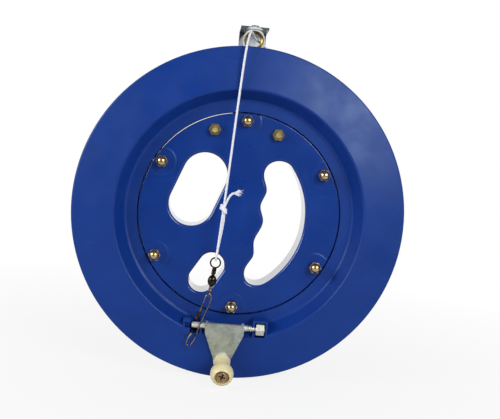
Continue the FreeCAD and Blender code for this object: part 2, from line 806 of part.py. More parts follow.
def dome_nuts():
    body = body_of("dome_nuts")
    flats = sketch_on(body, "dome_hex_sketch", "XZ_Plane", "dome_base")
    hexagon(flats, "0", "bolt_circle", "dome_nut_across")
    pad(body, "dome_hex", flats, "dome_nut_hex_height")
    sphere(body, "dome", "0", "-dome_centre", "bolt_circle", "dome_nut_radius")
    bore = sketch_on(body, "dome_bore_sketch", "XZ_Plane", "dome_base")
    circle(bore, "0", "bolt_circle", "bolt_bore")
    cut(body, "dome_bore", bore, "dome_nut_bore_depth")
    pattern(body, "dome_ring", [], "bearing_count", whole=True)


size("bolt_head_back", "=grip_front + bolt_head_height")
doc.recompute()
bearing_rings()
bearing_hubs()
bearing_balls()
bearing_bolts()
dome_nuts()


# ----------------------------------------------------------------- line guide

def guide_bracket():
    body = body_of("guide_bracket")
    side = sketch_on(body, "guide_side_sketch", "YZ_Plane", "-guide_half_width")
    polygon(side, [
        ("grip_front", "guide_foot_low"), ("guide_foot_back", "guide_foot_low"),
        ("guide_foot_back", "guide_step_low"), ("guide_arm_back", "guide_step_high"),
        ("guide_arm_back", "guide_top"), ("-guide_lip_front", "guide_top"),
        ("-guide_lip_front", "guide_lip_under"), ("guide_arm_front", "guide_lip_under"),
        ("guide_arm_front", "guide_step_high"), ("grip_front", "guide_step_low")])
    pad(body, "guide_strip", side, "guide_width")
    foot = sketch_on(body, "guide_foot_sketch", "XZ_Plane", "-guide_foot_back")
    polygon(foot, [
        ("-guide_foot_half", "guide_foot_low"), ("guide_foot_half", "guide_foot_low"),
        ("guide_foot_half", "guide_foot_high"), ("-guide_foot_half", "guide_foot_high")])
    pad(body, "guide_foot", foot, "guide_wall")
    holes = sketch_on(body, "guide_hole_sketch", "XZ_Plane", "-guide_foot_back")
    circle(holes, "-guide_bolt_side", "guide_bolt_height", "guide_bore")
    circle(holes, "guide_bolt_side", "guide_bolt_height", "guide_bore")
    cut(body, "guide_holes", holes, "guide_wall")
    window = sketch_on(body, "guide_window_sketch", "XZ_Plane", "-guide_arm_back")
    circle(window, "0", "bolt_circle", "guide_window_radius")
    cut(body, "guide_window", window, "guide_window_depth")
    rivet = sketch_on(body, "rivet_hole_sketch", "XY_Plane", "guide_lip_under")
    circle(rivet, "0", "0", "stem_bore")
    cut(body, "rivet_hole", rivet, "guide_wall")


def guide_ring():
    """The ring with its riveted stem. Its axis runs front to back."""
    body = body_of("guide_ring")
    ring_profile(body, "ring_turned", "ring_bush_radius", "ring_radius", "ring_half_width", "ring_height")
    stem = sketch_on(body, "stem_sketch", "XY_Plane", "ring_stem_start")
    circle(stem, "0", "0", "ring_stem_radius")
    pad(body, "stem", stem, "ring_stem_length")
    head = sketch_on(body, "rivet_head_sketch", "XY_Plane", "guide_top")
    circle(head, "0", "0", "rivet_head_radius")
    pad(body, "rivet_head", head, "rivet_head_height")


def guide_bush():
    """The smooth liner in the ring, flared at both ends."""
    body = body_of("guide_bush")
    profile = sketch_on(body, "guide_bush_profile", "XY_Plane", "ring_height")
    polygon(profile, [
        ("ring_bore_radius", "-ring_half_width"), ("ring_bush_radius", "-ring_flare_front"),
        ("ring_flare_radius", "-ring_flare_front"), ("ring_flare_radius", "-ring_half_width"),
        ("ring_bush_radius", "-ring_half_width"), ("ring_bush_radius", "ring_half_width"),
        ("ring_flare_radius", "ring_half_width"), ("ring_flare_radius", "ring_flare_front"),
        ("ring_bush_radius", "ring_flare_front"), ("ring_bore_radius", "ring_half_width")])
    revolve(body, "guide_bush_turned", profile)


def guide_bolts():
    body = body_of("guide_bolts")
    head = sketch_on(body, "guide_head_sketch", "XZ_Plane", "-guide_head_back")
    shank = sketch_on(body, "guide_shank_sketch", "XZ_Plane", "-guide_foot_back")
    for hand in ("-guide_bolt_side", "guide_bolt_side"):
        circle(head, hand, "guide_bolt_height", "guide_head_radius")
        circle(shank, hand, "guide_bolt_height", "guide_bolt_radius")
    pad(body, "guide_heads", head, "guide_head_height")
    pad(body, "guide_shanks", shank, "guide_bolt_length")


def guide_nuts():
    body = body_of("guide_nuts")
    flats = sketch_on(body, "guide_nut_sketch", "XZ_Plane", "grip_front")
    hexagon(flats, "-guide_bolt_side", "guide_bolt_height", "guide_nut_across")
    hexagon(flats, "guide_bolt_side", "guide_bolt_height", "guide_nut_across")
    pad(body, "guide_nut_hexes", flats, "guide_nut_height")
    bore = sketch_on(body, "guide_nut_bore_sketch", "XZ_Plane", "grip_front")
    circle(bore, "-guide_bolt_side", "guide_bolt_height", "guide_bore")
    circle(bore, "guide_bolt_side", "guide_bolt_height", "guide_bore")
    cut(body, "guide_nut_bores", bore, "guide_nut_height")


size("stem_bore", "=ring_stem_radius + bolt_play")
size("guide_window_radius", "=bolt_head_across / 2 / cos(30) + guide_window_play")
size("guide_window_depth", "=guide_arm_back - grip_front")
size("ring_stem_start", "=ring_height + ring_radius - 0.6")
size("ring_stem_length", "=guide_top - ring_stem_start")
size("guide_head_back", "=guide_foot_back + guide_head_height")
size("guide_bolt_length", "=guide_foot_back + grip_front + guide_nut_height + 0.6")
doc.recompute()
guide_bracket()
guide_ring()
guide_bush()
guide_bolts()
guide_nuts()


# ---------------------------------------------------------- crank and its hinge

def hinge_rod():
    body = body_of("hinge_rod")
    rod = sketch_on(body, "rod_sketch", "YZ_Plane", "-rod_left")
    circle(rod, "-hinge_front", "-hinge_radius", "rod_radius")
    pad(body, "rod", rod, "rod_length")


def hinge_nut():
    body = body_of("hinge_nut")
    flats = sketch_on(body, "hinge_nut_sketch", "YZ_Plane", "hinge_nut_start")
    hexagon(flats, "-hinge_front", "-hinge_radius", "hinge_nut_across")
    circle(flats, "-hinge_front", "-hinge_radius", "rod_seat_radius")
    pad(body, "hinge_nut_hex", flats, "hinge_nut_height")


def crank_bracket():
    """A flat tapering plate with an ear bent back at each side."""
    body = body_of("crank_bracket")
    plate = sketch_on(body, "crank_plate_sketch", "XZ_Plane", "plate_stand")
    polygon(plate, [
        ("crank_top_left", "crank_above_hinge"), ("crank_left", "crank_shoulder_high"),
        ("crank_left", "-crank_shoulder_low"), ("crank_end_left", "-crank_arm"),
        ("crank_end_right", "-crank_arm"), ("crank_right", "-crank_shoulder_low"),
        ("crank_right", "crank_shoulder_high"), ("crank_top_right", "crank_above_hinge")])
    pad(body, "crank_plate", plate, "crank_wall")
    tip = sketch_on(body, "crank_tip_sketch", "XZ_Plane", "plate_stand")
    circle(tip, "crank_offset", "-crank_arm", "crank_end_radius")
    pad(body, "crank_tip", tip, "crank_wall")
    for side, start in (("left", "crank_left"), ("right", "right_ear_start")):
        web = sketch_on(body, side + "_web_sketch", "YZ_Plane", start)
        polygon(web, [
            ("-plate_face", "-crank_shoulder_low"), ("0", "-ear_radius"),
            ("0", "crank_shoulder_high"), ("-plate_face", "crank_shoulder_high")])
        pad(body, side + "_web", web, "crank_wall")
        ear = sketch_on(body, side + "_ear_sketch", "YZ_Plane", start)
        circle(ear, "0", "0", "ear_radius")
        pad(body, side + "_ear", ear, "crank_wall")
    pivot = sketch_on(body, "pivot_sketch", "YZ_Plane", "crank_left")
    circle(pivot, "0", "0", "pivot_radius")
    cut(body, "pivot", pivot, "crank_width")
    hole = sketch_on(body, "knob_hole_sketch", "XZ_Plane", "plate_stand")
    circle(hole, "crank_offset", "-crank_arm", "knob_screw_bore")
    cut(body, "knob_hole", hole, "crank_wall")
    place_on_crank(body, "-hinge_front", "-hinge_radius")


def knob_bush():
    body = body_of("knob_bush")
    profile = sketch_on(body, "bush_profile", "XY_Plane")
    polygon(profile, [
        ("knob_screw_bore", "-plate_face"), ("bush_flange_radius", "-plate_face"),
        ("bush_flange_radius", "-bush_flange_top"), ("bush_radius", "-bush_flange_top"),
        ("bush_radius", "-bush_end"), ("knob_screw_bore", "-bush_end")])
    revolve(body, "bush_turned", profile)
    place_on_crank(body, "knob_y", "knob_z", "crank_offset")


def knob_screw():
    body = body_of("knob_screw")
    profile = sketch_on(body, "knob_screw_profile", "XY_Plane")
    polygon(profile, [
        ("0", "-plate_stand"), ("knob_screw_radius", "-plate_stand"),
        ("knob_screw_radius", "-bush_end"), ("knob_screw_head_radius", "-bush_end"),
        ("knob_screw_head_radius", "-screw_head_side"), ("knob_screw_head_crown", "-screw_head_end"),
        ("0", "-screw_head_end")])
    revolve(body, "knob_screw_turned", profile)
    place_on_crank(body, "knob_y", "knob_z", "crank_offset")


def crank_knob():
    """The turning knob: a collar and a ball, bored for the bush and screw."""
    body = body_of("crank_knob")
    profile = sketch_on(body, "collar_profile", "XY_Plane")
    polygon(profile, [
        ("0", "-knob_base"), ("collar_base_radius", "-knob_base"),
        ("collar_radius", "-collar_top"), ("collar_radius", "-ball_centre"), ("0", "-ball_centre")])
    revolve(body, "collar_turned", profile)
    sphere(body, "ball", "0", "-ball_centre", "0", "ball_radius")
    bore = sketch_on(body, "knob_bore_sketch", "XZ_Plane")
    circle(bore, "0", "0", "knob_bore_radius")
    cut(body, "knob_bore", bore, "knob_cut_length")
    top = sketch_on(body, "counterbore_sketch", "XZ_Plane", "counterbore_floor")
    circle(top, "0", "0", "counterbore_radius")
    cut(body, "counterbore", top, "ball_radius")
    place_on_crank(body, "knob_y", "knob_z", "crank_offset")


size("rod_length", "=rod_left + rod_right")
size("right_ear_start", "=crank_right - crank_wall")
size("pivot_radius", "=rod_radius + ear_play")
size("knob_screw_bore", "=knob_screw_radius + bolt_play")
size("screw_head_side", "=bush_end + knob_screw_head_height * 0.5")
size("knob_screw_head_crown", "=knob_screw_head_radius * 0.7")
size("knob_bore_radius", "=bush_radius + knob_play")
size("knob_cut_length", "=ball_centre + ball_radius + 1")
doc.recompute()
hinge_rod()
hinge_nut()
crank_bracket()
knob_bush()
knob_screw()
crank_knob()


# ---------------------------------------------------------- swivel, snap and line

def place_on_swivel(body):
    """The swivel's own Z leans a little from the winder's."""
    body.Placement = FreeCAD.Placement(V(0, 0, 0), FreeCAD.Rotation(Y_AXIS, number("swivel_lean")))
    body.setExpression("Placement.Rotation.Angle", formula("swivel_lean"))
    place(body, "-swivel_front", "swivel_z", "swivel_x")


def swivel_barrel():
    body = body_of("swivel_barrel")
    profile = sketch_on(body, "barrel_profile", "XZ_Plane")
    polygon(profile, [
        ("0", "-barrel_half_length"), ("barrel_collar_radius", "-barrel_half_length"),
        ("barrel_collar_radius", "barrel_half_length"), ("0", "barrel_half_length")])
    revolve(body, "barrel_collar", profile)
    sphere(body, "barrel_ball", "0", "0", "0", "barrel_radius")
    inside = sketch_on(body, "barrel_inside_sketch", "XZ_Plane")
    polygon(inside, [
        ("0", "-barrel_bore_half"), ("barrel_bore_radius", "-barrel_bore_half"),
        ("barrel_bore_radius", "-barrel_cavity_half"), ("barrel_cavity_radius", "-barrel_cavity_half"),
        ("barrel_cavity_radius", "barrel_cavity_half"), ("barrel_bore_radius", "barrel_cavity_half"),
        ("barrel_bore_radius", "barrel_bore_half"), ("0", "barrel_bore_half")])
    before = body.Shape.Volume
    groove = body.newObject("PartDesign::Groove", "barrel_inside")
    groove.Profile = inside
    groove.ReferenceAxis = (inside, ["V_Axis"])
    groove.Angle = 360
    doc.recompute()
    if body.Shape.Volume > before - 1e-3:
        raise RuntimeError("barrel_inside cuts nothing")
    place_on_swivel(body)


def swivel_eye(name, way, eye_radius, eye_height, twist_end, ring_axis):
    """A headed shank, the wire wrapped round it, and the eye at its end."""
    body = body_of(name)
    profile = sketch_on(body, name + "_profile", "XZ_Plane")
    polygon(profile, [
        ("0", way + "eye_head_start"), ("eye_head_radius", way + "eye_head_start"),
        ("eye_head_radius", way + "eye_head_end"), ("eye_shank_radius", way + "eye_head_end"),
        ("eye_shank_radius", way + "eye_twist_start"), ("eye_twist_radius", way + "eye_twist_start"),
        ("eye_twist_radius", way + twist_end), ("0", way + twist_end)])
    revolve(body, name + "_shank", profile)
    ring = body.newObject("PartDesign::AdditiveTorus", name + "_ring")
    ring.setExpression("Radius1", formula(eye_radius))
    ring.setExpression("Radius2", formula("eye_wire_radius"))
    ring.Placement = FreeCAD.Placement(V(0, 0, 0), FreeCAD.Rotation(ring_axis, 90))
    ring.setExpression("Placement.Base.z", formula(way + eye_height))
    doc.recompute()
    place_on_swivel(body)


def smooth_path(points):
    """Straight runs joined by tangent arcs, each as large as its runs allow."""
    edges = []
    radii = []
    last = points[0]
    for index in range(1, len(points) - 1):
        here = points[index]
        back = points[index - 1] - here
        ahead = points[index + 1] - here
        reach = 0.45 * min(back.Length, ahead.Length)
        back.normalize()
        ahead.normalize()
        half_turn = (math.pi - back.getAngle(ahead)) / 2
        radius = reach / math.tan(half_turn)
        bisector = back + ahead
        bisector.normalize()
        start = here + back * reach
        middle = here + bisector * (radius / math.cos(half_turn) - radius)
        finish = here + ahead * reach
        edges.append(Part.LineSegment(last, start).toShape())
        edges.append(Part.Arc(start, middle, finish).toShape())
        last = finish
        radii.append(round(radius, 1))
    edges.append(Part.LineSegment(last, points[-1]).toShape())
    return Part.Wire(edges), radii


def tube(name, points, radius):
    """A round tube along the smoothed path, checked against its length."""
    path, radii = smooth_path(points)
    start = path.Edges[0].firstVertex().Point
    along = path.Edges[0].tangentAt(path.Edges[0].FirstParameter)
    section = Part.Wire([Part.Circle(start, along, number(radius)).toShape()])
    solid = path.makePipeShell([section], True, False, 0)
    expected = math.pi * number(radius) ** 2 * path.Length
    print(name, "length", round(path.Length, 1), "volume share", round(solid.Volume / expected, 4),
          "bend radii", radii)
    item = doc.addObject("Part::Feature", name)
    item.Label = name
    item.Shape = solid
    return item


def snap_points():
    """The snap's wire, from the clasp up through the swivel's eye and down
    in front of the rod, then back up behind the rod into the clasp."""
    lean = math.radians(number("swivel_lean"))
    eye_x = number("swivel_x") - number("lower_eye_height") * math.sin(lean)
    eye_z = number("swivel_z") - number("lower_eye_height") * math.cos(lean)
    front = -number("swivel_front")
    rod_y = -number("hinge_front")
    rod_z = -number("hinge_radius")
    edge = -number("flange_front")
    clasp_top = V(-20.2, front + 0.8, -63.2)
    clasp_foot = V(-22.4, rod_y - 2.6, rod_z + 5.0)
    middle = (clasp_top + clasp_foot) * 0.5
    half_gap = (clasp_top - clasp_foot) * 0.03
    return [
        middle + half_gap, clasp_top, V(eye_x - 2.6, front, eye_z - 2.9),
        V(eye_x - 1.5, front, eye_z - 0.2), V(eye_x + 1.3, front, eye_z - 0.4),
        V(eye_x + 1.4, front, eye_z - 3.1), V(-15.2, front + 0.4, -60.0),
        V(-19.9, rod_y - 3.4, rod_z + 0.6), V(-22.6, edge - 1.4, rod_z - 9.8),
        V(-25.0, edge - 1.4, rod_z - 13.6), V(-27.5, edge - 1.4, rod_z - 12.4),
        V(-27.0, edge - 1.4, rod_z - 8.8), V(-24.5, edge - 1.8, rod_z - 4.6),
        V(-24.1, rod_y + 4.2, rod_z - 2.0), V(-23.5, rod_y + 4.2, rod_z + 2.6),
        clasp_foot, middle - half_gap]


def snap_clasp():
    """The sleeve over both ends of the snap's wire."""
    points = snap_points()
    high = points[1]
    low = points[-2]
    along = high - low
    along.normalize()
    clasp = Part.makeBox(number("clasp_width"), number("clasp_thickness"), number("clasp_length"),
                         V(-number("clasp_width") / 2, -number("clasp_thickness") / 2, 0))
    edges = [edge for edge in clasp.Edges if abs(edge.Length - number("clasp_length")) < 1e-6]
    clasp = clasp.makeFillet(0.45 * number("clasp_thickness"), edges)
    bore_radius = number("snap_wire_radius") + number("clasp_play")
    clasp = clasp.cut(Part.makeCylinder(bore_radius, number("clasp_length") + 2, V(0, 0, -1)))
    item = doc.addObject("Part::Feature", "snap_clasp")
    item.Label = "snap_clasp"
    item.Shape = clasp
    foot = (low + high) * 0.5 - along * (number("clasp_length") / 2)
    item.Placement = FreeCAD.Placement(foot, FreeCAD.Rotation(V(0, 0, 1), along))


def line_winding():
    """The wound line: one closed ring that fills the bottom of the groove."""
    body = body_of("line_winding")
    ring_profile(body, "winding_turned", "winding_inner", "winding_outer", "winding_half_width")


# The free line: from the top of the winding, through the ring, over the
# front flange and down to the swivel. Points are x, y, z.
KNOT_AT = V(-10.8, -24.6, 4.0)
LINE_POINTS = [
    V(50.2, 3.0, 76.2), V(24.0, 4.6, 99.5), V(5.6, 5.0, 113.2), V(0.6, 0.4, 115.4),
    V(-1.0, -5.0, 117.6), V(-3.8, -15.0, 116.6), V(-6.4, -24.4, 98.5), KNOT_AT,
    V(-12.85, -24.0, -27.4)]
TAIL_POINTS = [
    KNOT_AT, V(-9.6, -25.6, 8.2), V(-8.0, -26.0, 12.6), V(-4.8, -25.6, 15.4),
    V(0.4, -24.8, 15.2)]


def kite_line():
    """The line, its knot and its loose end are one piece."""
    line = tube("free_line", LINE_POINTS, "line_radius")
    tail = tube("loose_end", TAIL_POINTS, "line_radius")
    knot = doc.addObject("Part::Sphere", "knot")
    knot.setExpression("Radius", formula("knot_radius"))
    knot.Placement.Base = KNOT_AT
    whole = joined("kite_line", [line, knot, tail])
    whole.Label = "kite_line"


size("barrel_bore_half", "=barrel_half_length + 0.2")
size("eye_head_end", "=eye_head_start + 0.9")
size("upper_twist_end", "=upper_eye_height - upper_eye_radius")
size("lower_twist_end", "=lower_eye_height - lower_eye_radius")
size("winding_inner", "=drum_radius + winding_gap")
size("winding_outer", "=drum_radius + winding_gap + winding_height")
doc.recompute()
swivel_barrel()
swivel_eye("swivel_upper_eye", "", "upper_eye_radius", "upper_eye_height", "upper_twist_end", X_AXIS)
swivel_eye("swivel_lower_eye", "-", "lower_eye_radius", "lower_eye_height", "lower_twist_end", Y_AXIS)
tube("snap_wire", snap_points(), "snap_wire_radius")
snap_clasp()
line_winding()
kite_line()
doc.recompute()


# --------------------------------------------------------------------- export

NODES = [
    "front_grip_plate", "rear_grip_plate", "bearing_bolts", "dome_nuts", "bearing_hubs",
    "bearing_balls", "guide_bracket", "guide_ring", "guide_bush", "guide_bolts", "guide_nuts",
    "front_wheel_half", "rear_wheel_half", "wheel_screws", "hinge_rod", "hinge_nut",
    "crank_bracket", "knob_bush", "knob_screw", "crank_knob", "swivel_barrel",
    "swivel_upper_eye", "swivel_lower_eye", "snap_wire", "snap_clasp", "line_winding",
    "kite_line"]
NODES += ["bearing_ring_%d" % (index + 1) for index in range(len(BOLT_ANGLES))]

for item in doc.Objects:
    if "Invalid" in item.State or "Error" in item.State:
        raise RuntimeError("%s failed: %s" % (item.Name, item.State))

os.makedirs("parts", exist_ok=True)
for name in NODES:
    found = doc.getObjectsByLabel(name)[0]
    shape = found.Shape
    if shape.isNull() or not shape.isValid() or not shape.Solids:
        raise RuntimeError(name + " has no sound solid")
    shape.exportStep("parts/" + name + ".step")
    box = shape.BoundBox
    print("%-18s %2d solids %10.1f mm3  x %.1f..%.1f y %.1f..%.1f z %.1f..%.1f" % (
        name, len(shape.Solids), shape.Volume, box.XMin, box.XMax, box.YMin, box.YMax,
        box.ZMin, box.ZMax))
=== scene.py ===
import bpy
import json
import math
import random
from mathutils import Matrix, Vector


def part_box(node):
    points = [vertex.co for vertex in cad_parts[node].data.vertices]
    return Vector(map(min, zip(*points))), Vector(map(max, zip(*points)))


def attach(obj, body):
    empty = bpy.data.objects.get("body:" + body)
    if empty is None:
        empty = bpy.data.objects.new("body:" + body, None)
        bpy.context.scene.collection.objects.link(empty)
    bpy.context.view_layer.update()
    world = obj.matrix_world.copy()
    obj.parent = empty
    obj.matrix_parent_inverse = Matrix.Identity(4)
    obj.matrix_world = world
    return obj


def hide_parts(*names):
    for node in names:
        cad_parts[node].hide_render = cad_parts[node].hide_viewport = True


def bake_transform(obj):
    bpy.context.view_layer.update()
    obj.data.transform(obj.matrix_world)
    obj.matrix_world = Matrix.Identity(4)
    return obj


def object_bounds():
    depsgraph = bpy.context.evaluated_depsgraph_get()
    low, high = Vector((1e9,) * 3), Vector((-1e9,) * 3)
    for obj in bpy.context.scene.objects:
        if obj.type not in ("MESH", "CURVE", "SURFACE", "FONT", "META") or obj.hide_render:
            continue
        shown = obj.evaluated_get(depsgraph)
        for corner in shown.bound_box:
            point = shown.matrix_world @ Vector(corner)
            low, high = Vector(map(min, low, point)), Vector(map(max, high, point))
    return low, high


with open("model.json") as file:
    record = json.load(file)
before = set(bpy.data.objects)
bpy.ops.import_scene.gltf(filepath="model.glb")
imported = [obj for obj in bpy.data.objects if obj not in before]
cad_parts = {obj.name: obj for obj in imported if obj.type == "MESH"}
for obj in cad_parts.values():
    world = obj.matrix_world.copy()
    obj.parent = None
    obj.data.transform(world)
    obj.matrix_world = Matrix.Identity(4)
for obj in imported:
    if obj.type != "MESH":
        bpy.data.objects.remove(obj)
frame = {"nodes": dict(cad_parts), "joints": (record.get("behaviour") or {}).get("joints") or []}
nodes_by_name = frame["nodes"]
cad_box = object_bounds()


# Camera: a little above the winder's axis and to its left, looking slightly
# down, so that the wheel stands square in the frame with a small lean.
CAMERA_PLACE = Vector((-0.02638, -0.52287, 0.04921))
CAMERA_YAW = 0.0647
CAMERA_PITCH = -0.0882
CAMERA_ROLL = 0.0912
FOCAL_PIXELS = 783
IMAGE_WIDTH = 500
SENSOR_WIDTH = 36

forward = Vector((math.sin(CAMERA_YAW) * math.cos(CAMERA_PITCH),
                  math.cos(CAMERA_YAW) * math.cos(CAMERA_PITCH), math.sin(CAMERA_PITCH)))
level = Vector((math.cos(CAMERA_YAW), -math.sin(CAMERA_YAW), 0))
raised = level.cross(forward)
right = math.cos(CAMERA_ROLL) * level + math.sin(CAMERA_ROLL) * raised
upward = math.cos(CAMERA_ROLL) * raised - math.sin(CAMERA_ROLL) * level
camera = bpy.data.objects.new("camera", bpy.data.cameras.new("camera"))
camera.data.sensor_width = SENSOR_WIDTH
camera.data.lens = FOCAL_PIXELS / IMAGE_WIDTH * SENSOR_WIDTH
camera.data.clip_start = 0.01
camera.matrix_world = Matrix.Translation(CAMERA_PLACE) @ Matrix(
    (right, upward, -forward)).transposed().to_4x4()
bpy.context.scene.collection.objects.link(camera)
bpy.context.scene.camera = camera


# Kite line: a limp white braid of about 1.5 mm. It leaves the top of the
# winding, goes through the guide ring, hangs over the front flange and is
# tied to the swivel with a knot whose cut end is frayed.
LINE_RADIUS = 0.00075
LINE_ROUTE = [
    (0.0502, 0.0030, 0.0762), (0.0240, 0.0046, 0.0995), (0.0056, 0.0050, 0.1132),
    (0.0006, 0.0004, 0.1154), (-0.0010, -0.0050, 0.1182), (-0.0038, -0.0150, 0.1184),
    (-0.0064, -0.0244, 0.0985), (-0.0108, -0.0246, 0.0040), (-0.01285, -0.0240, -0.0274)]
BRAID_PITCH = 0.0028
BRAID_STRANDS = 8
BRAID_RELIEF = 0.07


def spline_points(name, route, resolution):
    """The points of a smooth NURBS curve that has the route as its control points."""
    curve = bpy.data.curves.new(name, "CURVE")
    curve.dimensions = "3D"
    curve.resolution_u = resolution
    spline = curve.splines.new("NURBS")
    spline.points.add(len(route) - 1)
    for point, place in zip(spline.points, route):
        point.co = (*place, 1)
    spline.order_u = 3
    spline.use_endpoint_u = True
    holder = bpy.data.objects.new(name, curve)
    mesh = bpy.data.meshes.new_from_object(holder)
    points = [vertex.co.copy() for vertex in mesh.vertices]
    bpy.data.objects.remove(holder)
    return points


def spread_evenly(points, step):
    """The same path with its points one step apart."""
    lengths = [0]
    for before, after in zip(points, points[1:]):
        lengths.append(lengths[-1] + (after - before).length)
    count = max(2, round(lengths[-1] / step))
    evenly = []
    index = 0
    for number in range(count + 1):
        target = lengths[-1] * number / count
        while index < len(points) - 2 and lengths[index + 1] < target:
            index += 1
        share = (target - lengths[index]) / max(lengths[index + 1] - lengths[index], 1e-12)
        evenly.append(points[index].lerp(points[index + 1], min(max(share, 0), 1)))
    return evenly


def path_frames(points):
    """Two directions square to the path at each point, without twist."""
    side = None
    frames = []
    for index in range(len(points)):
        ahead = points[min(index + 1, len(points) - 1)]
        behind = points[max(index - 1, 0)]
        along = (ahead - behind).normalized()
        if side is None:
            side = along.orthogonal().normalized()
        side = (side - along * side.dot(along)).normalized()
        frames.append((side.copy(), along.cross(side)))
    return frames


def mesh_piece(name, vertices, faces, finish):
    """A smooth-shaded piece with one finish."""
    mesh = bpy.data.meshes.new(name)
    mesh.from_pydata(vertices, [], faces)
    mesh.validate()
    mesh.polygons.foreach_set("use_smooth", [True] * len(mesh.polygons))
    piece = bpy.data.objects.new(name, mesh)
    piece.data.materials.append(finish)
    bpy.context.scene.collection.objects.link(piece)
    return piece


def ring_faces(rings, sides):
    """The faces between rings of points that follow one another."""
    faces = []
    for ring in range(rings - 1):
        for turn in range(sides):
            following = (turn + 1) % sides
            faces.append((ring * sides + turn, ring * sides + following,
                          (ring + 1) * sides + following, (ring + 1) * sides + turn))
    return faces


def end_faces(rings, sides):
    """The two faces that close the first and the last ring."""
    return [tuple(reversed(range(sides))),
            tuple((rings - 1) * sides + turn for turn in range(sides))]


def swept(points, sides, radius_at):
    """Vertices and faces of a closed tube whose radius is a function of place and angle."""
    vertices = []
    run = 0
    for index, (point, (side, across)) in enumerate(zip(points, path_frames(points))):
        if index:
            run += (point - points[index - 1]).length
        for turn in range(sides):
            angle = 2 * math.pi * turn / sides
            out = side * math.cos(angle) + across * math.sin(angle)
            vertices.append(point + out * radius_at(run, angle))
    return vertices, ring_faces(len(points), sides) + end_faces(len(points), sides)


def braid_radius(run, angle):
    """Raised crossings of two sets of strands that wind opposite ways."""
    turn = 2 * math.pi * run / BRAID_PITCH
    half = BRAID_STRANDS / 2
    one = math.cos(half * (angle + turn / half))
    other = math.cos(half * (angle - turn / half))
    return LINE_RADIUS * (1 - BRAID_RELIEF * (1 - max(one, other)))


def shader_of(finish):
    """The one shader node that gives a finish its look."""
    return finish.node_tree.nodes["Principled BSDF"]


def new_finish(name, colour, roughness, metallic=0):
    """A finish and its shader, which later nodes give its detail."""
    finish = bpy.data.materials.new(name)
    finish.use_nodes = True
    shader = shader_of(finish)
    shader.inputs["Base Color"].default_value = (*colour, 1)
    shader.inputs["Roughness"].default_value = roughness
    shader.inputs["Metallic"].default_value = metallic
    return finish, shader


def add_node(finish, kind, **values):
    """A shader node whose named inputs or settings are set."""
    node = finish.node_tree.nodes.new(kind)
    for name, value in values.items():
        socket = name.replace("_", " ").title()
        if socket in node.inputs:
            node.inputs[socket].default_value = value
        else:
            setattr(node, name, value)
    return node


def join(finish, start, end):
    """A link from one node's output to another's input."""
    finish.node_tree.links.new(start, end)


def noise(finish, scale, detail=4, roughness=0.55, distortion=0):
    """Noise in the piece's own coordinates, with its scale in waves per metre."""
    place = add_node(finish, "ShaderNodeTexCoord")
    texture = add_node(finish, "ShaderNodeTexNoise", scale=scale, detail=detail,
                       roughness=roughness, distortion=distortion)
    join(finish, place.outputs["Object"], texture.inputs["Vector"])
    return texture.outputs["Fac"]


def ramp(finish, source, stops):
    """A ramp from (place, colour or grey) stops."""
    node = add_node(finish, "ShaderNodeValToRGB")
    join(finish, source, node.inputs["Fac"])
    elements = node.color_ramp.elements
    while len(elements) < len(stops):
        elements.new(0.5)
    for element, (place, colour) in zip(elements, stops):
        element.position = place
        element.color = (*colour, 1) if isinstance(colour, tuple) else (*[colour] * 3, 1)
    return node.outputs["Color"]


def tones(finish, share, under, over):
    """Two tones mixed by a share, each of them a colour, a number or a socket."""
    node = add_node(finish, "ShaderNodeMix", data_type="RGBA")
    for socket, source in ((node.inputs["Factor"], share), (node.inputs[6], under),
                           (node.inputs[7], over)):
        if isinstance(source, tuple):
            socket.default_value = (*source, 1)
        elif isinstance(source, float):
            socket.default_value = source
        else:
            join(finish, source, socket)
    return node.outputs[2]


def bump(finish, shader, source, distance, strength=1.0):
    """Adds a fine relief over any that the shader already has."""
    node = add_node(finish, "ShaderNodeBump", strength=strength, distance=distance)
    join(finish, source, node.inputs["Height"])
    if shader.inputs["Normal"].links:
        join(finish, shader.inputs["Normal"].links[0].from_socket, node.inputs["Normal"])
    join(finish, node.outputs["Normal"], shader.inputs["Normal"])


LINE_WHITE = (0.92, 0.93, 0.97)
LINE_SHADE = (0.78, 0.80, 0.87)
PATH_STEP = 0.00028
line_finish, line_shader = new_finish("braided_white", LINE_WHITE, 0.62)
line_shader.inputs["Sheen Weight"].default_value = 0.25
line_tone = ramp(line_finish, noise(line_finish, 1800), [(0.32, LINE_SHADE), (0.6, LINE_WHITE)])
join(line_finish, line_tone, line_shader.inputs["Base Color"])
bump(line_finish, line_shader, noise(line_finish, 6000, 2), 0.00006)

line_path = spread_evenly(spline_points("line_route", LINE_ROUTE, 40), PATH_STEP)
kite_line = mesh_piece("free_line", *swept(line_path, 16, braid_radius), line_finish)
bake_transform(kite_line)
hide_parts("kite_line")

# Knot and frayed end: the line comes back up from the swivel's eye and is
# tied round itself. Its cut end stands up to the right, and the fibres of the
# braid have opened there into a fan.
LOOP_ROUTE = [
    (-0.0106, -0.0242, 0.0034), (-0.0100, -0.0238, -0.0010), (-0.0107, -0.0236, -0.0090),
    (-0.0121, -0.0235, -0.0200), (-0.0126, -0.0228, -0.0262), (-0.0130, -0.0226, -0.0286),
    (-0.01305, -0.0240, -0.0298), (-0.01305, -0.0254, -0.0284), (-0.0129, -0.0250, -0.0262),
    (-0.0126, -0.0243, -0.0240)]
TAIL_ROUTE = [
    (-0.0108, -0.0246, 0.0040), (-0.0096, -0.0256, 0.0082), (-0.0080, -0.0260, 0.0126),
    (-0.0048, -0.0256, 0.0154), (0.0004, -0.0248, 0.0152)]
KNOT_PLACE = Vector((-0.0108, -0.0246, 0.0040))
WRAP_COUNT = 3
WRAP_STEPS = 32
WRAP_TURNS = 1.12
WRAP_SHIFT = 2.1
WRAP_RADIUS = 0.00135
WRAP_GROWTH = 0.0001
WRAP_BULGE = 0.28
WRAP_RISE = 0.0011
WRAP_LEAN = 0.0013
BRAID_SHARE = 0.68
FIBRE_COUNT = 60
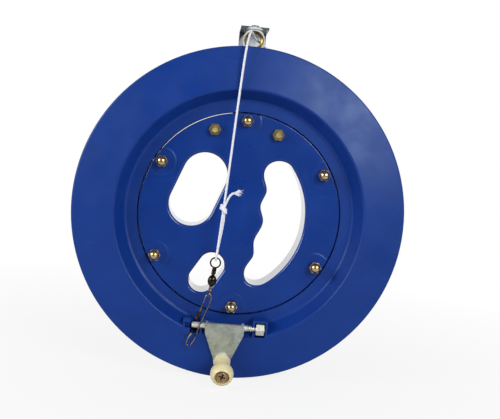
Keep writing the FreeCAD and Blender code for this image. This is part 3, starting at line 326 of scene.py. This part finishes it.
FIBRE_STEPS = 8
FIBRE_RADIUS = 0.00013
FIBRE_LENGTH = 0.0050
FIBRE_SHORTEST = 0.72
FIBRE_BUNDLE = 1.6 * LINE_RADIUS
FAN_SPREAD = Vector((0.24, 0.14, 0.38))

random.seed(7)
knot_vertices = []
knot_faces = []


def add_tube(vertices, faces, tube):
    """Adds one more tube to a piece made of several."""
    offset = len(vertices)
    vertices += tube[0]
    faces += [tuple(corner + offset for corner in face) for face in tube[1]]


knot_index = min(range(len(line_path)),
                 key=lambda index: (line_path[index] - KNOT_PLACE).length)
knot_centre = line_path[knot_index]
knot_along = (line_path[knot_index + 4] - line_path[knot_index - 4]).normalized()
knot_across = knot_along.cross(Vector((1, 0, 0))).normalized()
knot_side = knot_across.cross(knot_along)
for wrap in range(WRAP_COUNT):
    turns = []
    for step in range(WRAP_STEPS + 1):
        angle = 2 * math.pi * (step / WRAP_STEPS) * WRAP_TURNS + wrap * WRAP_SHIFT
        out = knot_side * math.cos(angle) + knot_across * math.sin(angle)
        rise = (wrap - 1) * WRAP_RISE + WRAP_LEAN * math.cos(angle)
        reach = (WRAP_RADIUS + WRAP_GROWTH * wrap) * (1 + WRAP_BULGE * math.cos(2 * angle))
        turns.append(knot_centre + out * reach + knot_along * rise)
    add_tube(knot_vertices, knot_faces, swept(turns, 12, braid_radius))
loop_path = spread_evenly(spline_points("loop_route", LOOP_ROUTE, 30), PATH_STEP)
add_tube(knot_vertices, knot_faces, swept(loop_path, 14, braid_radius))
line_knot = mesh_piece("line_knot", knot_vertices, knot_faces, line_finish)
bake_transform(line_knot)

tail_path = spread_evenly(spline_points("tail_route", TAIL_ROUTE, 30), PATH_STEP)
tail_vertices = []
tail_faces = []
braid_end = round(len(tail_path) * BRAID_SHARE)
add_tube(tail_vertices, tail_faces, swept(tail_path[:braid_end], 14, braid_radius))
tail_tip = tail_path[braid_end - 2]
tail_along = (tail_path[-1] - tail_tip).normalized()
for fibre in range(FIBRE_COUNT):
    spread = Vector([random.uniform(-1, 1) * reach for reach in FAN_SPREAD])
    start = tail_tip + spread * FIBRE_BUNDLE
    reach = FIBRE_LENGTH * random.uniform(FIBRE_SHORTEST, 1.0)
    strand = []
    for step in range(FIBRE_STEPS + 1):
        share = step / FIBRE_STEPS
        strand.append(start + (tail_along + spread * share ** 0.5) * reach * share)
    add_tube(tail_vertices, tail_faces, swept(strand, 6, lambda run, angle: FIBRE_RADIUS))
line_tail = mesh_piece("line_tail", tail_vertices, tail_faces, line_finish)
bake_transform(line_tail)


# Spool wheel: two halves of glossy royal-blue ABS, injection moulded and
# screwed together from the back. They have a fine satin grain and a few light
# scuffs from use.
BLUE = (0.0030, 0.0370, 0.2600)
BLUE_DEEP = (0.0024, 0.0310, 0.2250)
SCUFF_BLUE = (0.020, 0.075, 0.330)
BLUE_GLOSS = (0.68, 0.86, 1.00)
BLUE_GLOSS_LEVEL = 0.42
SCUFF_SHARE = 0.35


def dress(names, finish):
    """Gives each named node one finish."""
    for name in names:
        node = nodes_by_name[name]
        node.data.materials.clear()
        node.data.materials.append(finish)


def moulded_blue(name, roughness, grain):
    """Moulded blue with faint clouds, scuffs, uneven gloss and the mould's grain."""
    finish, shader = new_finish(name, BLUE, roughness)
    shader.inputs["Specular IOR Level"].default_value = BLUE_GLOSS_LEVEL
    shader.inputs["Specular Tint"].default_value = (*BLUE_GLOSS, 1)
    cloud = ramp(finish, noise(finish, 35, 3), [(0.35, BLUE_DEEP), (0.65, BLUE)])
    scratch_place = add_node(finish, "ShaderNodeTexCoord")
    stretch = add_node(finish, "ShaderNodeMapping")
    stretch.inputs["Scale"].default_value = (30, 30, 700)
    stretch.inputs["Rotation"].default_value = (0, 0.9, 0)
    join(finish, scratch_place.outputs["Object"], stretch.inputs["Vector"])
    scratches = add_node(finish, "ShaderNodeTexNoise", scale=1, detail=3, roughness=0.6)
    join(finish, stretch.outputs["Vector"], scratches.inputs["Vector"])
    scuffs = ramp(finish, scratches.outputs["Fac"], [(0.66, 0.0), (0.74, SCUFF_SHARE)])
    join(finish, tones(finish, scuffs, cloud, SCUFF_BLUE), shader.inputs["Base Color"])
    patches = ramp(finish, noise(finish, 60, 5),
                   [(0.35, roughness * 0.85), (0.7, roughness * 1.2)])
    join(finish, patches, shader.inputs["Roughness"])
    bump(finish, shader, noise(finish, 160, 2), 0.00012, 0.35)
    bump(finish, shader, noise(finish, 2600, 2), grain)
    return finish


satin_blue = moulded_blue("satin_blue_plastic", 0.42, 0.000012)
dress(["front_wheel_half", "rear_wheel_half"], satin_blue)

# Grip disc: two plates of the same plastic, polished and bolted together round
# the bearings. The walls of the hand openings slide against steel in the mould
# and come out like a mirror. Over each bearing is a faint round boss.
BEARING_CIRCLE = 0.0612
BOSS_RADIUS = 0.0090
BOSS_EDGE = 0.0007
BOSS_HEIGHT = 0.00025
WALL_ROUGHNESS = 0.06
WALL_COAT_ROUGHNESS = 0.03
WALL_COAT_IOR = 4
WALL_COAT = [(0.1, 1.0), (0.3, 0.1), (0.9, 0.08), (0.98, 0.0)]
polished_blue = moulded_blue("polished_blue_plastic", 0.32, 0.000004)
polished_shader = shader_of(polished_blue)
wall_place = add_node(polished_blue, "ShaderNodeTexCoord")
wall_normal = add_node(polished_blue, "ShaderNodeSeparateXYZ")
join(polished_blue, wall_place.outputs["Normal"], wall_normal.inputs["Vector"])
wall_slope = add_node(polished_blue, "ShaderNodeMath", operation="ABSOLUTE")
join(polished_blue, wall_normal.outputs["Y"], wall_slope.inputs[0])
wall_share = ramp(polished_blue, wall_slope.outputs[0], WALL_COAT)
join(polished_blue, wall_share, polished_shader.inputs["Coat Weight"])
polished_shader.inputs["Coat Roughness"].default_value = WALL_COAT_ROUGHNESS
polished_shader.inputs["Coat IOR"].default_value = WALL_COAT_IOR
wall_gloss = add_node(polished_blue, "ShaderNodeMix", data_type="FLOAT")
join(polished_blue, wall_share, wall_gloss.inputs["Factor"])
join(polished_blue, polished_shader.inputs["Roughness"].links[0].from_socket,
     wall_gloss.inputs[2])
wall_gloss.inputs[3].default_value = WALL_ROUGHNESS
join(polished_blue, wall_gloss.outputs[0], polished_shader.inputs["Roughness"])


def rounds(finish, places, radius, edge):
    """One inside any round of this radius about the places, nothing outside them."""
    place = add_node(finish, "ShaderNodeTexCoord")
    flat_place = add_node(finish, "ShaderNodeVectorMath", operation="MULTIPLY")
    join(finish, place.outputs["Object"], flat_place.inputs[0])
    flat_place.inputs[1].default_value = (1, 0, 1)
    nearest = None
    for across, height in places:
        away = add_node(finish, "ShaderNodeVectorMath", operation="DISTANCE")
        join(finish, flat_place.outputs[0], away.inputs[0])
        away.inputs[1].default_value = (across, 0, height)
        reach = away.outputs["Value"]
        if nearest:
            nearer = add_node(finish, "ShaderNodeMath", operation="MINIMUM")
            join(finish, nearest, nearer.inputs[0])
            join(finish, reach, nearer.inputs[1])
            reach = nearer.outputs[0]
        nearest = reach
    inside = add_node(finish, "ShaderNodeMapRange", interpolation_type="SMOOTHSTEP")
    inside.inputs["From Min"].default_value = radius + edge
    inside.inputs["From Max"].default_value = radius - edge
    join(finish, nearest, inside.inputs["Value"])
    return inside.outputs["Result"]


bearing_places = [(BEARING_CIRCLE * math.cos(math.radians(turn)),
                   BEARING_CIRCLE * math.sin(math.radians(turn))) for turn in range(30, 390, 60)]
bump(polished_blue, polished_shader,
     rounds(polished_blue, bearing_places, BOSS_RADIUS, BOSS_EDGE), BOSS_HEIGHT)
dress(["front_grip_plate", "rear_grip_plate"], polished_blue)


# Bearings: hardened steel rings and balls on a clamped hub, held by
# yellow-passivated bolts with dome nuts. Turned, hardened and plated parts.
STEEL = (0.56, 0.57, 0.58)
STEEL_DARK = (0.40, 0.41, 0.42)
BRASS_LIGHT = (0.86, 0.66, 0.36)
BRASS_DARK = (0.62, 0.42, 0.18)


def plated(name, light, dark, roughness, waves, scale):
    """A bright plated metal with clouds of a second tone and fine wear."""
    finish, shader = new_finish(name, light, roughness, 1)
    join(finish, ramp(finish, noise(finish, scale, 5), [(0.34, dark), (0.62, light)]),
         shader.inputs["Base Color"])
    join(finish, ramp(finish, noise(finish, scale * 2.2, 4),
                      [(0.3, roughness * 0.75), (0.75, min(1, roughness * 1.35))]),
         shader.inputs["Roughness"])
    bump(finish, shader, noise(finish, waves, 3), 0.00001, 0.6)
    return finish


bearing_steel = plated("bearing_steel", STEEL, STEEL_DARK, 0.22, 3000, 400)
yellow_zinc = plated("yellow_zinc", BRASS_LIGHT, BRASS_DARK, 0.2, 2500, 260)
bearing_rings = ["bearing_ring_%d" % number for number in range(1, 7)]
dress(["bearing_hubs", "bearing_balls"] + bearing_rings, bearing_steel)
dress(["bearing_bolts", "dome_nuts", "guide_nuts"], yellow_zinc)

# Guide bolts: cold-headed and passivated a greener yellow, with the dished
# middle that the header's punch leaves. The dish's wall is painted dark as shade.
BOLT_YELLOW = (0.86, 0.76, 0.30)
BOLT_YELLOW_DARK = (0.60, 0.50, 0.16)
BOLT_DISH_SHADE = (0.20, 0.13, 0.04)
BOLT_PLACES = [(-0.02065, 0.05335), (0.02065, 0.05335)]
DISH_RADIUS = 0.0021
DISH_EDGE = 0.0005
DISH_DEPTH = 0.0006
DISH_WALL_SHADE = [(0.0, 0.0), (0.35, 1.0), (0.65, 1.0), (1.0, 0.15)]
bolt_yellow = plated("bolt_yellow", BOLT_YELLOW, BOLT_YELLOW_DARK, 0.26, 2500, 300)
bolt_shader = shader_of(bolt_yellow)
bolt_shader.inputs["Metallic"].default_value = 0.55
bolt_dish = rounds(bolt_yellow, BOLT_PLACES, DISH_RADIUS, DISH_EDGE)
bump(bolt_yellow, bolt_shader, bolt_dish, -DISH_DEPTH)
# Painted shade: the dish's sloping wall is darkened to a dark brown ring, and its middle a little.
bolt_tone_and_shade = tones(bolt_yellow, ramp(bolt_yellow, bolt_dish, DISH_WALL_SHADE),
                  bolt_shader.inputs["Base Color"].links[0].from_socket, BOLT_DISH_SHADE)
join(bolt_yellow, bolt_tone_and_shade, bolt_shader.inputs["Base Color"])
dress(["guide_bolts"], bolt_yellow)


# Line guide: a bent zinc-plated strip with a ring riveted under its lip and a
# brass bush that the line runs through. Round the ring, the top band of the
# strip is painted dark as shade.
ZINC_LIGHT = (0.58, 0.62, 0.55)
ZINC_DARK = (0.33, 0.37, 0.34)
GUIDE_LIGHT = (0.90, 0.96, 0.97)
GUIDE_DARK = (0.78, 0.85, 0.88)
GUIDE_PAINTED_SHADE = (0.10, 0.11, 0.11)
PAINTED_SHADE_LOW = 0.1130
PAINTED_SHADE_HIGH = 0.1180
RING_PLACE = (0, 0.1142)
RING_REACH = 0.0088
RING_EDGE = 0.0006
BUSH_BRASS = (0.36, 0.26, 0.09)
BUSH_DARK = (0.26, 0.15, 0.05)


def zinc_finish(name, light, dark, roughness, metal, grain=0.00002):
    """Zinc plating: mottled, with faint crystals in it."""
    finish, shader = new_finish(name, light, roughness, metal)
    place = add_node(finish, "ShaderNodeTexCoord")
    crystals = add_node(finish, "ShaderNodeTexVoronoi", scale=520, feature="F1")
    join(finish, place.outputs["Object"], crystals.inputs["Vector"])
    spangle = ramp(finish, crystals.outputs["Color"], [(0.15, dark), (0.6, light)])
    mottle = ramp(finish, noise(finish, 170, 6, 0.65), [(0.36, dark), (0.58, light)])
    join(finish, tones(finish, 0.3, mottle, spangle), shader.inputs["Base Color"])
    dullness = ramp(finish, noise(finish, 420, 5), [(0.3, roughness * 0.7), (0.7, roughness * 1.3)])
    join(finish, dullness, shader.inputs["Roughness"])
    bump(finish, shader, noise(finish, 1400, 4), grain, 0.7)
    return finish


zinc_plate = zinc_finish("zinc_plate", ZINC_LIGHT, ZINC_DARK, 0.42, 0.75)
guide_zinc = zinc_finish("guide_zinc", GUIDE_LIGHT, GUIDE_DARK, 0.3, 0.35)
guide_shader = shader_of(guide_zinc)
guide_place = add_node(guide_zinc, "ShaderNodeTexCoord")
guide_parts = add_node(guide_zinc, "ShaderNodeSeparateXYZ")
join(guide_zinc, guide_place.outputs["Object"], guide_parts.inputs["Vector"])
# Painted shade: outside the ring, the strip's top band is darkened towards near black by its
# height.
guide_height = add_node(guide_zinc, "ShaderNodeMapRange")
guide_height.inputs["From Min"].default_value = PAINTED_SHADE_LOW
guide_height.inputs["From Max"].default_value = PAINTED_SHADE_HIGH
join(guide_zinc, guide_parts.outputs["Z"], guide_height.inputs["Value"])
guide_outer = add_node(guide_zinc, "ShaderNodeMath", operation="SUBTRACT")
guide_outer.inputs[0].default_value = 1
join(guide_zinc, rounds(guide_zinc, [RING_PLACE], RING_REACH, RING_EDGE), guide_outer.inputs[1])
guide_painted_shade = add_node(guide_zinc, "ShaderNodeMath", operation="MULTIPLY")
join(guide_zinc, guide_height.outputs["Result"], guide_painted_shade.inputs[0])
join(guide_zinc, guide_outer.outputs[0], guide_painted_shade.inputs[1])
guide_tone_and_shade = tones(guide_zinc, guide_painted_shade.outputs[0],
                   guide_shader.inputs["Base Color"].links[0].from_socket, GUIDE_PAINTED_SHADE)
join(guide_zinc, guide_tone_and_shade, guide_shader.inputs["Base Color"])
bush_brass = plated("bush_brass", BUSH_BRASS, BUSH_DARK, 0.3, 2200, 420)
dress(["guide_bracket", "guide_ring"], guide_zinc)
dress(["wheel_screws"], zinc_plate)
dress(["guide_bush"], bush_brass)


# Crank: a bent zinc-plated steel plate on a long screw across the recess. The
# screw is smooth where the crank's ears turn and threaded towards its nut.
PALE_ZINC = (0.84, 0.84, 0.74)
PALE_ZINC_DARK = (0.76, 0.77, 0.66)
ROD_RADIUS = 0.002
ROD_SET_BACK = 0.0044
THREAD_DEPTH = 0.00062
THREAD_PITCH = 0.0015
THREAD_START = 0.0104
ROD_SIDES = 48
ROD_END_STEP = 0.0001
ROD_PLAIN_STEP = 0.0004
ROD_STEP = 0.00009
ROD_CHAMFER = 0.00035
THREAD_LEAD = 0.0005
dress(["crank_bracket"], zinc_plate)
pale_zinc = zinc_finish("pale_zinc", PALE_ZINC, PALE_ZINC_DARK, 0.3, 0.5, 0.000004)
dress(["hinge_nut"], pale_zinc)
rod_low, rod_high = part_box("hinge_rod")
rod_axis = Vector((0, (rod_low[1] + rod_high[1]) / 2, (rod_low[2] + rod_high[2]) / 2))
rod_start = rod_low[0] + ROD_SET_BACK
rod_run = [rod_start + ROD_END_STEP * step for step in range(3)]
while rod_run[-1] < THREAD_START - THREAD_LEAD:
    rod_run.append(rod_run[-1] + ROD_PLAIN_STEP)
while rod_run[-1] < rod_high[0]:
    rod_run.append(min(rod_run[-1] + ROD_STEP, rod_high[0]))


def rod_radius(place, angle):
    """Smooth shank with a broken edge, then a vee thread that fades in."""
    edge = min(place - rod_start, rod_high[0] - place)
    chamfer = max(0, ROD_CHAMFER - edge)
    if place < THREAD_START:
        return ROD_RADIUS - chamfer
    phase = ((place - THREAD_START) / THREAD_PITCH + angle / (2 * math.pi)) % 1
    depth = THREAD_DEPTH * min(1, (place - THREAD_START) / THREAD_PITCH)
    return ROD_RADIUS - depth * (1 - abs(2 * phase - 1)) - chamfer


rod_vertices = []
for place in rod_run:
    for side in range(ROD_SIDES):
        angle = 2 * math.pi * side / ROD_SIDES
        reach = rod_radius(place, angle)
        rod_vertices.append((place, rod_axis.y + reach * math.cos(angle),
                             rod_axis.z + reach * math.sin(angle)))
rod_faces = ring_faces(len(rod_run), ROD_SIDES) + end_faces(len(rod_run), ROD_SIDES)
hinge_screw = mesh_piece("hinge_screw", rod_vertices, rod_faces, pale_zinc)
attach(hinge_screw, "wheel")
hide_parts("hinge_rod")


# Knob: turned from cream acetal, with a ball end and a counterbore for the
# screw that it turns on. It has gone a little yellow.
CREAM = (0.86, 0.77, 0.46)
CREAM_AGED = (0.80, 0.70, 0.38)
cream_plastic, cream_shader = new_finish("cream_plastic", CREAM, 0.36)
cream_shader.inputs["Subsurface Weight"].default_value = 0.2
cream_shader.inputs["Subsurface Radius"].default_value = (1.0, 0.8, 0.45)
cream_shader.inputs["Subsurface Scale"].default_value = 0.0015
cream_tone = ramp(cream_plastic, noise(cream_plastic, 90, 3), [(0.25, CREAM_AGED), (0.6, CREAM)])
join(cream_plastic, cream_tone, cream_shader.inputs["Base Color"])
bump(cream_plastic, cream_shader, noise(cream_plastic, 1500, 3), 0.00002, 0.6)
dress(["crank_knob"], cream_plastic)
dress(["knob_bush"], pale_zinc)

# Knob screw: a brown machine screw with a cross recess, whose inside is painted
# near black as shade. It holds the bush to the crank from inside the knob's counterbore.
SCREW_START = 0.00423
SCREW_HEAD_BASE = 0.02793
SCREW_HEAD_SIDE = 0.02913
SCREW_HEAD_END = 0.03033
SCREW_SHANK_RADIUS = 0.002
SCREW_HEAD_RADIUS = 0.0037
SCREW_CROWN_RADIUS = 0.0026
CROSS_REACH = 0.0024
CROSS_HALF_WIDTH = 0.00055
CROSS_DEPTH = 0.0013
CROSS_TURN = math.radians(18)
CROSS_EDGE = 0.0001
CROSS_TAPER = 0.7
CROSS_FLOOR = 0.001
CROSS_LIP = 0.0002
SCREW_SIDES = 96
SCREW_BEND_STEPS = 8
SCREW_CROWN_STEPS = 40
CROSS_SHADE_BROWN = (0.05, 0.02, 0.012)
CROSS_SHADE_MIDDLE = (0.03, 0.012, 0.008)
CROSS_SHADE_BLACK = (0.02, 0.008, 0.006)
SCREW_BROWN = (0.56, 0.40, 0.24)
SCREW_BROWN_DARK = (0.40, 0.25, 0.14)
screw_brown = plated("screw_brown", SCREW_BROWN, SCREW_BROWN_DARK, 0.38, 2400, 700)
# Painted shade: a near-black brown finish for the inside of the cross recess.
cross_painted_shade, cross_shade_shader = new_finish("cross_painted_shade", CROSS_SHADE_MIDDLE, 0.6)
cross_shade_tone = ramp(cross_painted_shade, noise(cross_painted_shade, 1500), [(0.3, CROSS_SHADE_BLACK), (0.7, CROSS_SHADE_BROWN)])
join(cross_painted_shade, cross_shade_tone, cross_shade_shader.inputs["Base Color"])
knob_joint = next(joint for joint in frame["joints"] if joint["name"] == "knob_spin")
knob_foot = Vector(knob_joint["pos_m"])
knob_out = Vector(knob_joint["axis"])
knob_level = knob_out.cross(Vector((0, 0, 1))).normalized()
knob_upright = knob_level.cross(knob_out)


def cross_depth(level, upright):
    """How deep the cross recess is below the head's crown at a place on it."""
    along = level * math.cos(CROSS_TURN) + upright * math.sin(CROSS_TURN)
    aside = upright * math.cos(CROSS_TURN) - level * math.sin(CROSS_TURN)
    far, near = max(abs(along), abs(aside)), min(abs(along), abs(aside))
    wall = min((CROSS_HALF_WIDTH - near) / CROSS_EDGE, (CROSS_REACH - far) / CROSS_EDGE, 1)
    return max(wall, 0) * CROSS_DEPTH * (1 - CROSS_TAPER * far / CROSS_REACH)


screw_profile = [(0, SCREW_START), (SCREW_SHANK_RADIUS, SCREW_START),
                 (SCREW_SHANK_RADIUS, SCREW_HEAD_BASE), (SCREW_HEAD_RADIUS, SCREW_HEAD_BASE),
                 (SCREW_HEAD_RADIUS, SCREW_HEAD_SIDE)]
for step in range(1, SCREW_BEND_STEPS + 1):
    turn = math.pi / 2 * step / SCREW_BEND_STEPS
    bend_reach = (SCREW_HEAD_RADIUS - SCREW_CROWN_RADIUS) * math.cos(turn)
    bend_rise = (SCREW_HEAD_END - SCREW_HEAD_SIDE) * math.sin(turn)
    screw_profile.append((SCREW_CROWN_RADIUS + bend_reach, SCREW_HEAD_SIDE + bend_rise))
for step in range(1, SCREW_CROWN_STEPS + 1):
    screw_profile.append((SCREW_CROWN_RADIUS * (1 - step / SCREW_CROWN_STEPS), SCREW_HEAD_END))
screw_vertices = []
for radius, height in screw_profile:
    for side in range(SCREW_SIDES):
        angle = 2 * math.pi * side / SCREW_SIDES
        level = radius * math.cos(angle)
        upright = radius * math.sin(angle)
        sunk = cross_depth(level, upright) if height == SCREW_HEAD_END else 0
        screw_vertices.append(knob_foot + knob_level * level + knob_upright * upright
                              + knob_out * (height - sunk))
screw_faces = ring_faces(len(screw_profile), SCREW_SIDES)
cross_screw = mesh_piece("cross_screw", screw_vertices, screw_faces, screw_brown)
cross_screw.data.materials.append(cross_painted_shade)
# The faces inside the cross recess take the painted shade.
for face in cross_screw.data.polygons:
    along = (face.center - knob_foot).dot(knob_out)
    aside = (face.center - knob_foot - knob_out * along).length
    if SCREW_HEAD_SIDE - CROSS_FLOOR < along < SCREW_HEAD_END - CROSS_LIP and aside < CROSS_REACH:
        face.material_index = 1
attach(cross_screw, "crank")
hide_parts("knob_screw")


# Swivel and wire hook: a dark bronze barrel with two wire eyes, and a bent
# spring-wire hook closed by a folded clasp.
BRONZE = (0.075, 0.055, 0.036)
BRONZE_DARK = (0.022, 0.016, 0.011)
WIRE = (0.36, 0.28, 0.18)
WIRE_DARK = (0.14, 0.10, 0.06)
CLASP = (0.10, 0.055, 0.028)
CLASP_DARK = (0.03, 0.016, 0.01)
WRAP_SIDES = 28
BARREL_RADIUS = 0.00285
BARREL_HALF = 0.0038
BARREL_NECK = 0.0010
BARREL_RIM = 0.0008
BARREL_RIM_SHARE = 0.985
BARREL_STEPS = 24
bronze = plated("dark_bronze", BRONZE, BRONZE_DARK, 0.2, 2600, 500)
spring_wire = plated("spring_wire", WIRE, WIRE_DARK, 0.2, 2600, 300)
clasp_brown = plated("clasp_brown", CLASP, CLASP_DARK, 0.25, 2600, 500)
dress(["swivel_upper_eye"], bronze)
dress(["snap_clasp"], clasp_brown)
dress(["swivel_lower_eye", "snap_wire"], spring_wire)
swivel_joint = next(joint for joint in frame["joints"] if joint["name"] == "swivel_spin")
swivel_middle = Vector(swivel_joint["pos_m"])
swivel_up = Vector(swivel_joint["axis"])
if swivel_up.z < 0:
    swivel_up = -swivel_up
swivel_side = swivel_up.cross(Vector((0, 1, 0))).normalized()
swivel_front = swivel_up.cross(swivel_side)


def wire_wraps(name, start, end, turns, radius, wire_radius, finish):
    """The eye's own wire, wound tightly round its shank."""
    points = []
    steps = round(turns * WRAP_SIDES)
    for step in range(steps + 1):
        angle = 2 * math.pi * turns * step / steps
        out = swivel_side * math.cos(angle) + swivel_front * math.sin(angle)
        rise = start + (end - start) * step / steps
        points.append(swivel_middle + swivel_up * rise + out * radius)
    return mesh_piece(name, *swept(points, 10, lambda run, angle: wire_radius), finish)


upper_wraps = wire_wraps("upper_wraps", 0.0044, 0.0081, 3.6, 0.00108, 0.00048, bronze)
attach(upper_wraps, "swivel")
lower_wraps = wire_wraps("lower_wraps", -0.0043, -0.0069, 2.8, 0.00088, 0.00042, spring_wire)
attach(lower_wraps, "wheel")
barrel_points = [swivel_middle + swivel_up * BARREL_HALF * (step / BARREL_STEPS - 1)
                 for step in range(2 * BARREL_STEPS + 1)]


def barrel_radius(run, angle):
    """An egg-like body that ends in a rolled neck."""
    share = min(1, abs(run / BARREL_HALF - 1))
    neck = BARREL_NECK if share < BARREL_RIM_SHARE else BARREL_RIM
    return max(BARREL_RADIUS * math.sqrt(max(0, 1 - share ** 2)), neck)


swivel_body = mesh_piece("swivel_body", *swept(barrel_points, 40, barrel_radius), bronze)
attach(swivel_body, "wheel")
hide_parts("swivel_barrel")


# Wound line: the rest of the braid, laid on the drum in two layers of turns
# that lie side by side, from the inner layer to the outer.
WINDING_TURNS = 19
WINDING_STEPS = 144
LAYER_RISE = 1.9 * LINE_RADIUS
WOUND_RADIUS = 0.98 * LINE_RADIUS
WOUND_SIDES = 7
wound_low, wound_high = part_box("line_winding")
outer_middle = wound_high[2] - LINE_RADIUS
wound_width = wound_high[1] - wound_low[1] - 2 * LINE_RADIUS
wound_path = []
for layer, reach in enumerate((outer_middle - LAYER_RISE, outer_middle)):
    for step in range(WINDING_TURNS * WINDING_STEPS + 1):
        angle = 2 * math.pi * step / WINDING_STEPS
        across = (0.5 - step / (WINDING_TURNS * WINDING_STEPS)) * wound_width
        if layer:
            across = -across
        wound_path.append(Vector((reach * math.cos(angle), across, reach * math.sin(angle))))
wound_tube = swept(wound_path, WOUND_SIDES, lambda run, angle: WOUND_RADIUS)
wound_line = mesh_piece("wound_line", *wound_tube, line_finish)
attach(wound_line, "wheel")
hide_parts("line_winding")


# Table: a matt white board under the wheel. It keeps the wheel's shadow, which
# fades into the white behind it towards the board's edge.
FLOOR_DROP = 0.0004
FLOOR_RADIUS = 0.46
FLOOR_SIDES = 96
FLOOR_WHITE = 0.7
FLOOR_ROUGHNESS = 0.7
FLOOR_GLOW = 0.86
FLOOR_FADE_START = 0.12
FLOOR_FADE_END = 0.45
floor_level = cad_box[0][2] - FLOOR_DROP
floor_finish, floor_shader = new_finish("white_table", (FLOOR_WHITE,) * 3, FLOOR_ROUGHNESS)
floor_glow = add_node(floor_finish, "ShaderNodeEmission")
floor_glow.inputs["Strength"].default_value = 1
floor_mix = add_node(floor_finish, "ShaderNodeMixShader")
floor_rays = add_node(floor_finish, "ShaderNodeLightPath")
floor_place = add_node(floor_finish, "ShaderNodeTexCoord")
floor_distance = add_node(floor_finish, "ShaderNodeVectorMath", operation="LENGTH")
join(floor_finish, floor_place.outputs["Object"], floor_distance.inputs[0])
floor_fade = add_node(floor_finish, "ShaderNodeMapRange")
floor_fade.inputs["From Min"].default_value = FLOOR_FADE_START
floor_fade.inputs["From Max"].default_value = FLOOR_FADE_END
floor_fade.inputs["To Min"].default_value = FLOOR_GLOW
join(floor_finish, floor_distance.outputs["Value"], floor_fade.inputs["Value"])
floor_share = add_node(floor_finish, "ShaderNodeMath", operation="MULTIPLY")
join(floor_finish, floor_fade.outputs["Result"], floor_share.inputs[1])
join(floor_finish, floor_rays.outputs["Is Camera Ray"], floor_share.inputs[0])
join(floor_finish, floor_share.outputs[0], floor_mix.inputs["Fac"])
join(floor_finish, floor_shader.outputs["BSDF"], floor_mix.inputs[1])
join(floor_finish, floor_glow.outputs["Emission"], floor_mix.inputs[2])
join(floor_finish, floor_mix.outputs["Shader"],
     floor_finish.node_tree.nodes["Material Output"].inputs["Surface"])
floor_edge = [(FLOOR_RADIUS * math.cos(2 * math.pi * side / FLOOR_SIDES),
               FLOOR_RADIUS * math.sin(2 * math.pi * side / FLOOR_SIDES), floor_level)
              for side in range(FLOOR_SIDES)]
floor = mesh_piece("floor", floor_edge, [tuple(range(FLOOR_SIDES))], floor_finish)


# Light: an even white room, and two soft lamps of one size in front of the
# wheel, one to each side and both above it. The room behind shows as white,
# also through the openings and in the metal.
AMBIENT = 0.16
BACKDROP_STARTS = 0.0
BACKDROP_FULL = 0.25
LAMP_SIZE = 0.50
world = bpy.data.worlds.new("studio")
bpy.context.scene.world = world
world.use_nodes = True
ambient = world.node_tree.nodes["Background"]
ambient.inputs["Color"].default_value = (1, 1, 1, 1)
ambient.inputs["Strength"].default_value = AMBIENT
white = add_node(world, "ShaderNodeBackground", strength=1.0)
white.inputs["Color"].default_value = (1, 1, 1, 1)
rays = add_node(world, "ShaderNodeLightPath")
heading = add_node(world, "ShaderNodeSeparateXYZ")
around = add_node(world, "ShaderNodeTexCoord")
join(world, around.outputs["Generated"], heading.inputs["Vector"])
behind = add_node(world, "ShaderNodeMapRange")
behind.inputs["From Min"].default_value = BACKDROP_STARTS
behind.inputs["From Max"].default_value = BACKDROP_FULL
join(world, heading.outputs["Y"], behind.inputs["Value"])
mirrored = add_node(world, "ShaderNodeMath", operation="MAXIMUM")
join(world, rays.outputs["Is Glossy Ray"], mirrored.inputs[0])
join(world, rays.outputs["Is Transmission Ray"], mirrored.inputs[1])
reflected = add_node(world, "ShaderNodeMath", operation="MULTIPLY")
join(world, mirrored.outputs[0], reflected.inputs[0])
join(world, behind.outputs["Result"], reflected.inputs[1])
shown = add_node(world, "ShaderNodeMath", operation="MAXIMUM")
join(world, rays.outputs["Is Camera Ray"], shown.inputs[0])
join(world, reflected.outputs[0], shown.inputs[1])
seen = add_node(world, "ShaderNodeMixShader")
join(world, shown.outputs[0], seen.inputs["Fac"])
join(world, ambient.outputs["Background"], seen.inputs[1])
join(world, white.outputs["Background"], seen.inputs[2])
join(world, seen.outputs["Shader"], world.node_tree.nodes["World Output"].inputs["Surface"])


def soft_lamp(name, place, watts):
    """A round lamp that faces the middle of the wheel."""
    lamp = bpy.data.objects.new(name, bpy.data.lights.new(name, "AREA"))
    lamp.data.shape = "DISK"
    lamp.data.size = LAMP_SIZE
    lamp.data.energy = watts
    lamp.location = place
    lamp.rotation_euler = (-Vector(place)).to_track_quat("-Z", "Y").to_euler()
    bpy.context.scene.collection.objects.link(lamp)


soft_lamp("right_lamp", (0.44, -0.69, 0.38), 5.0)
soft_lamp("left_lamp", (-0.77, -0.37, 0.28), 4.5)

bpy.context.scene.view_settings.view_transform = "Standard"
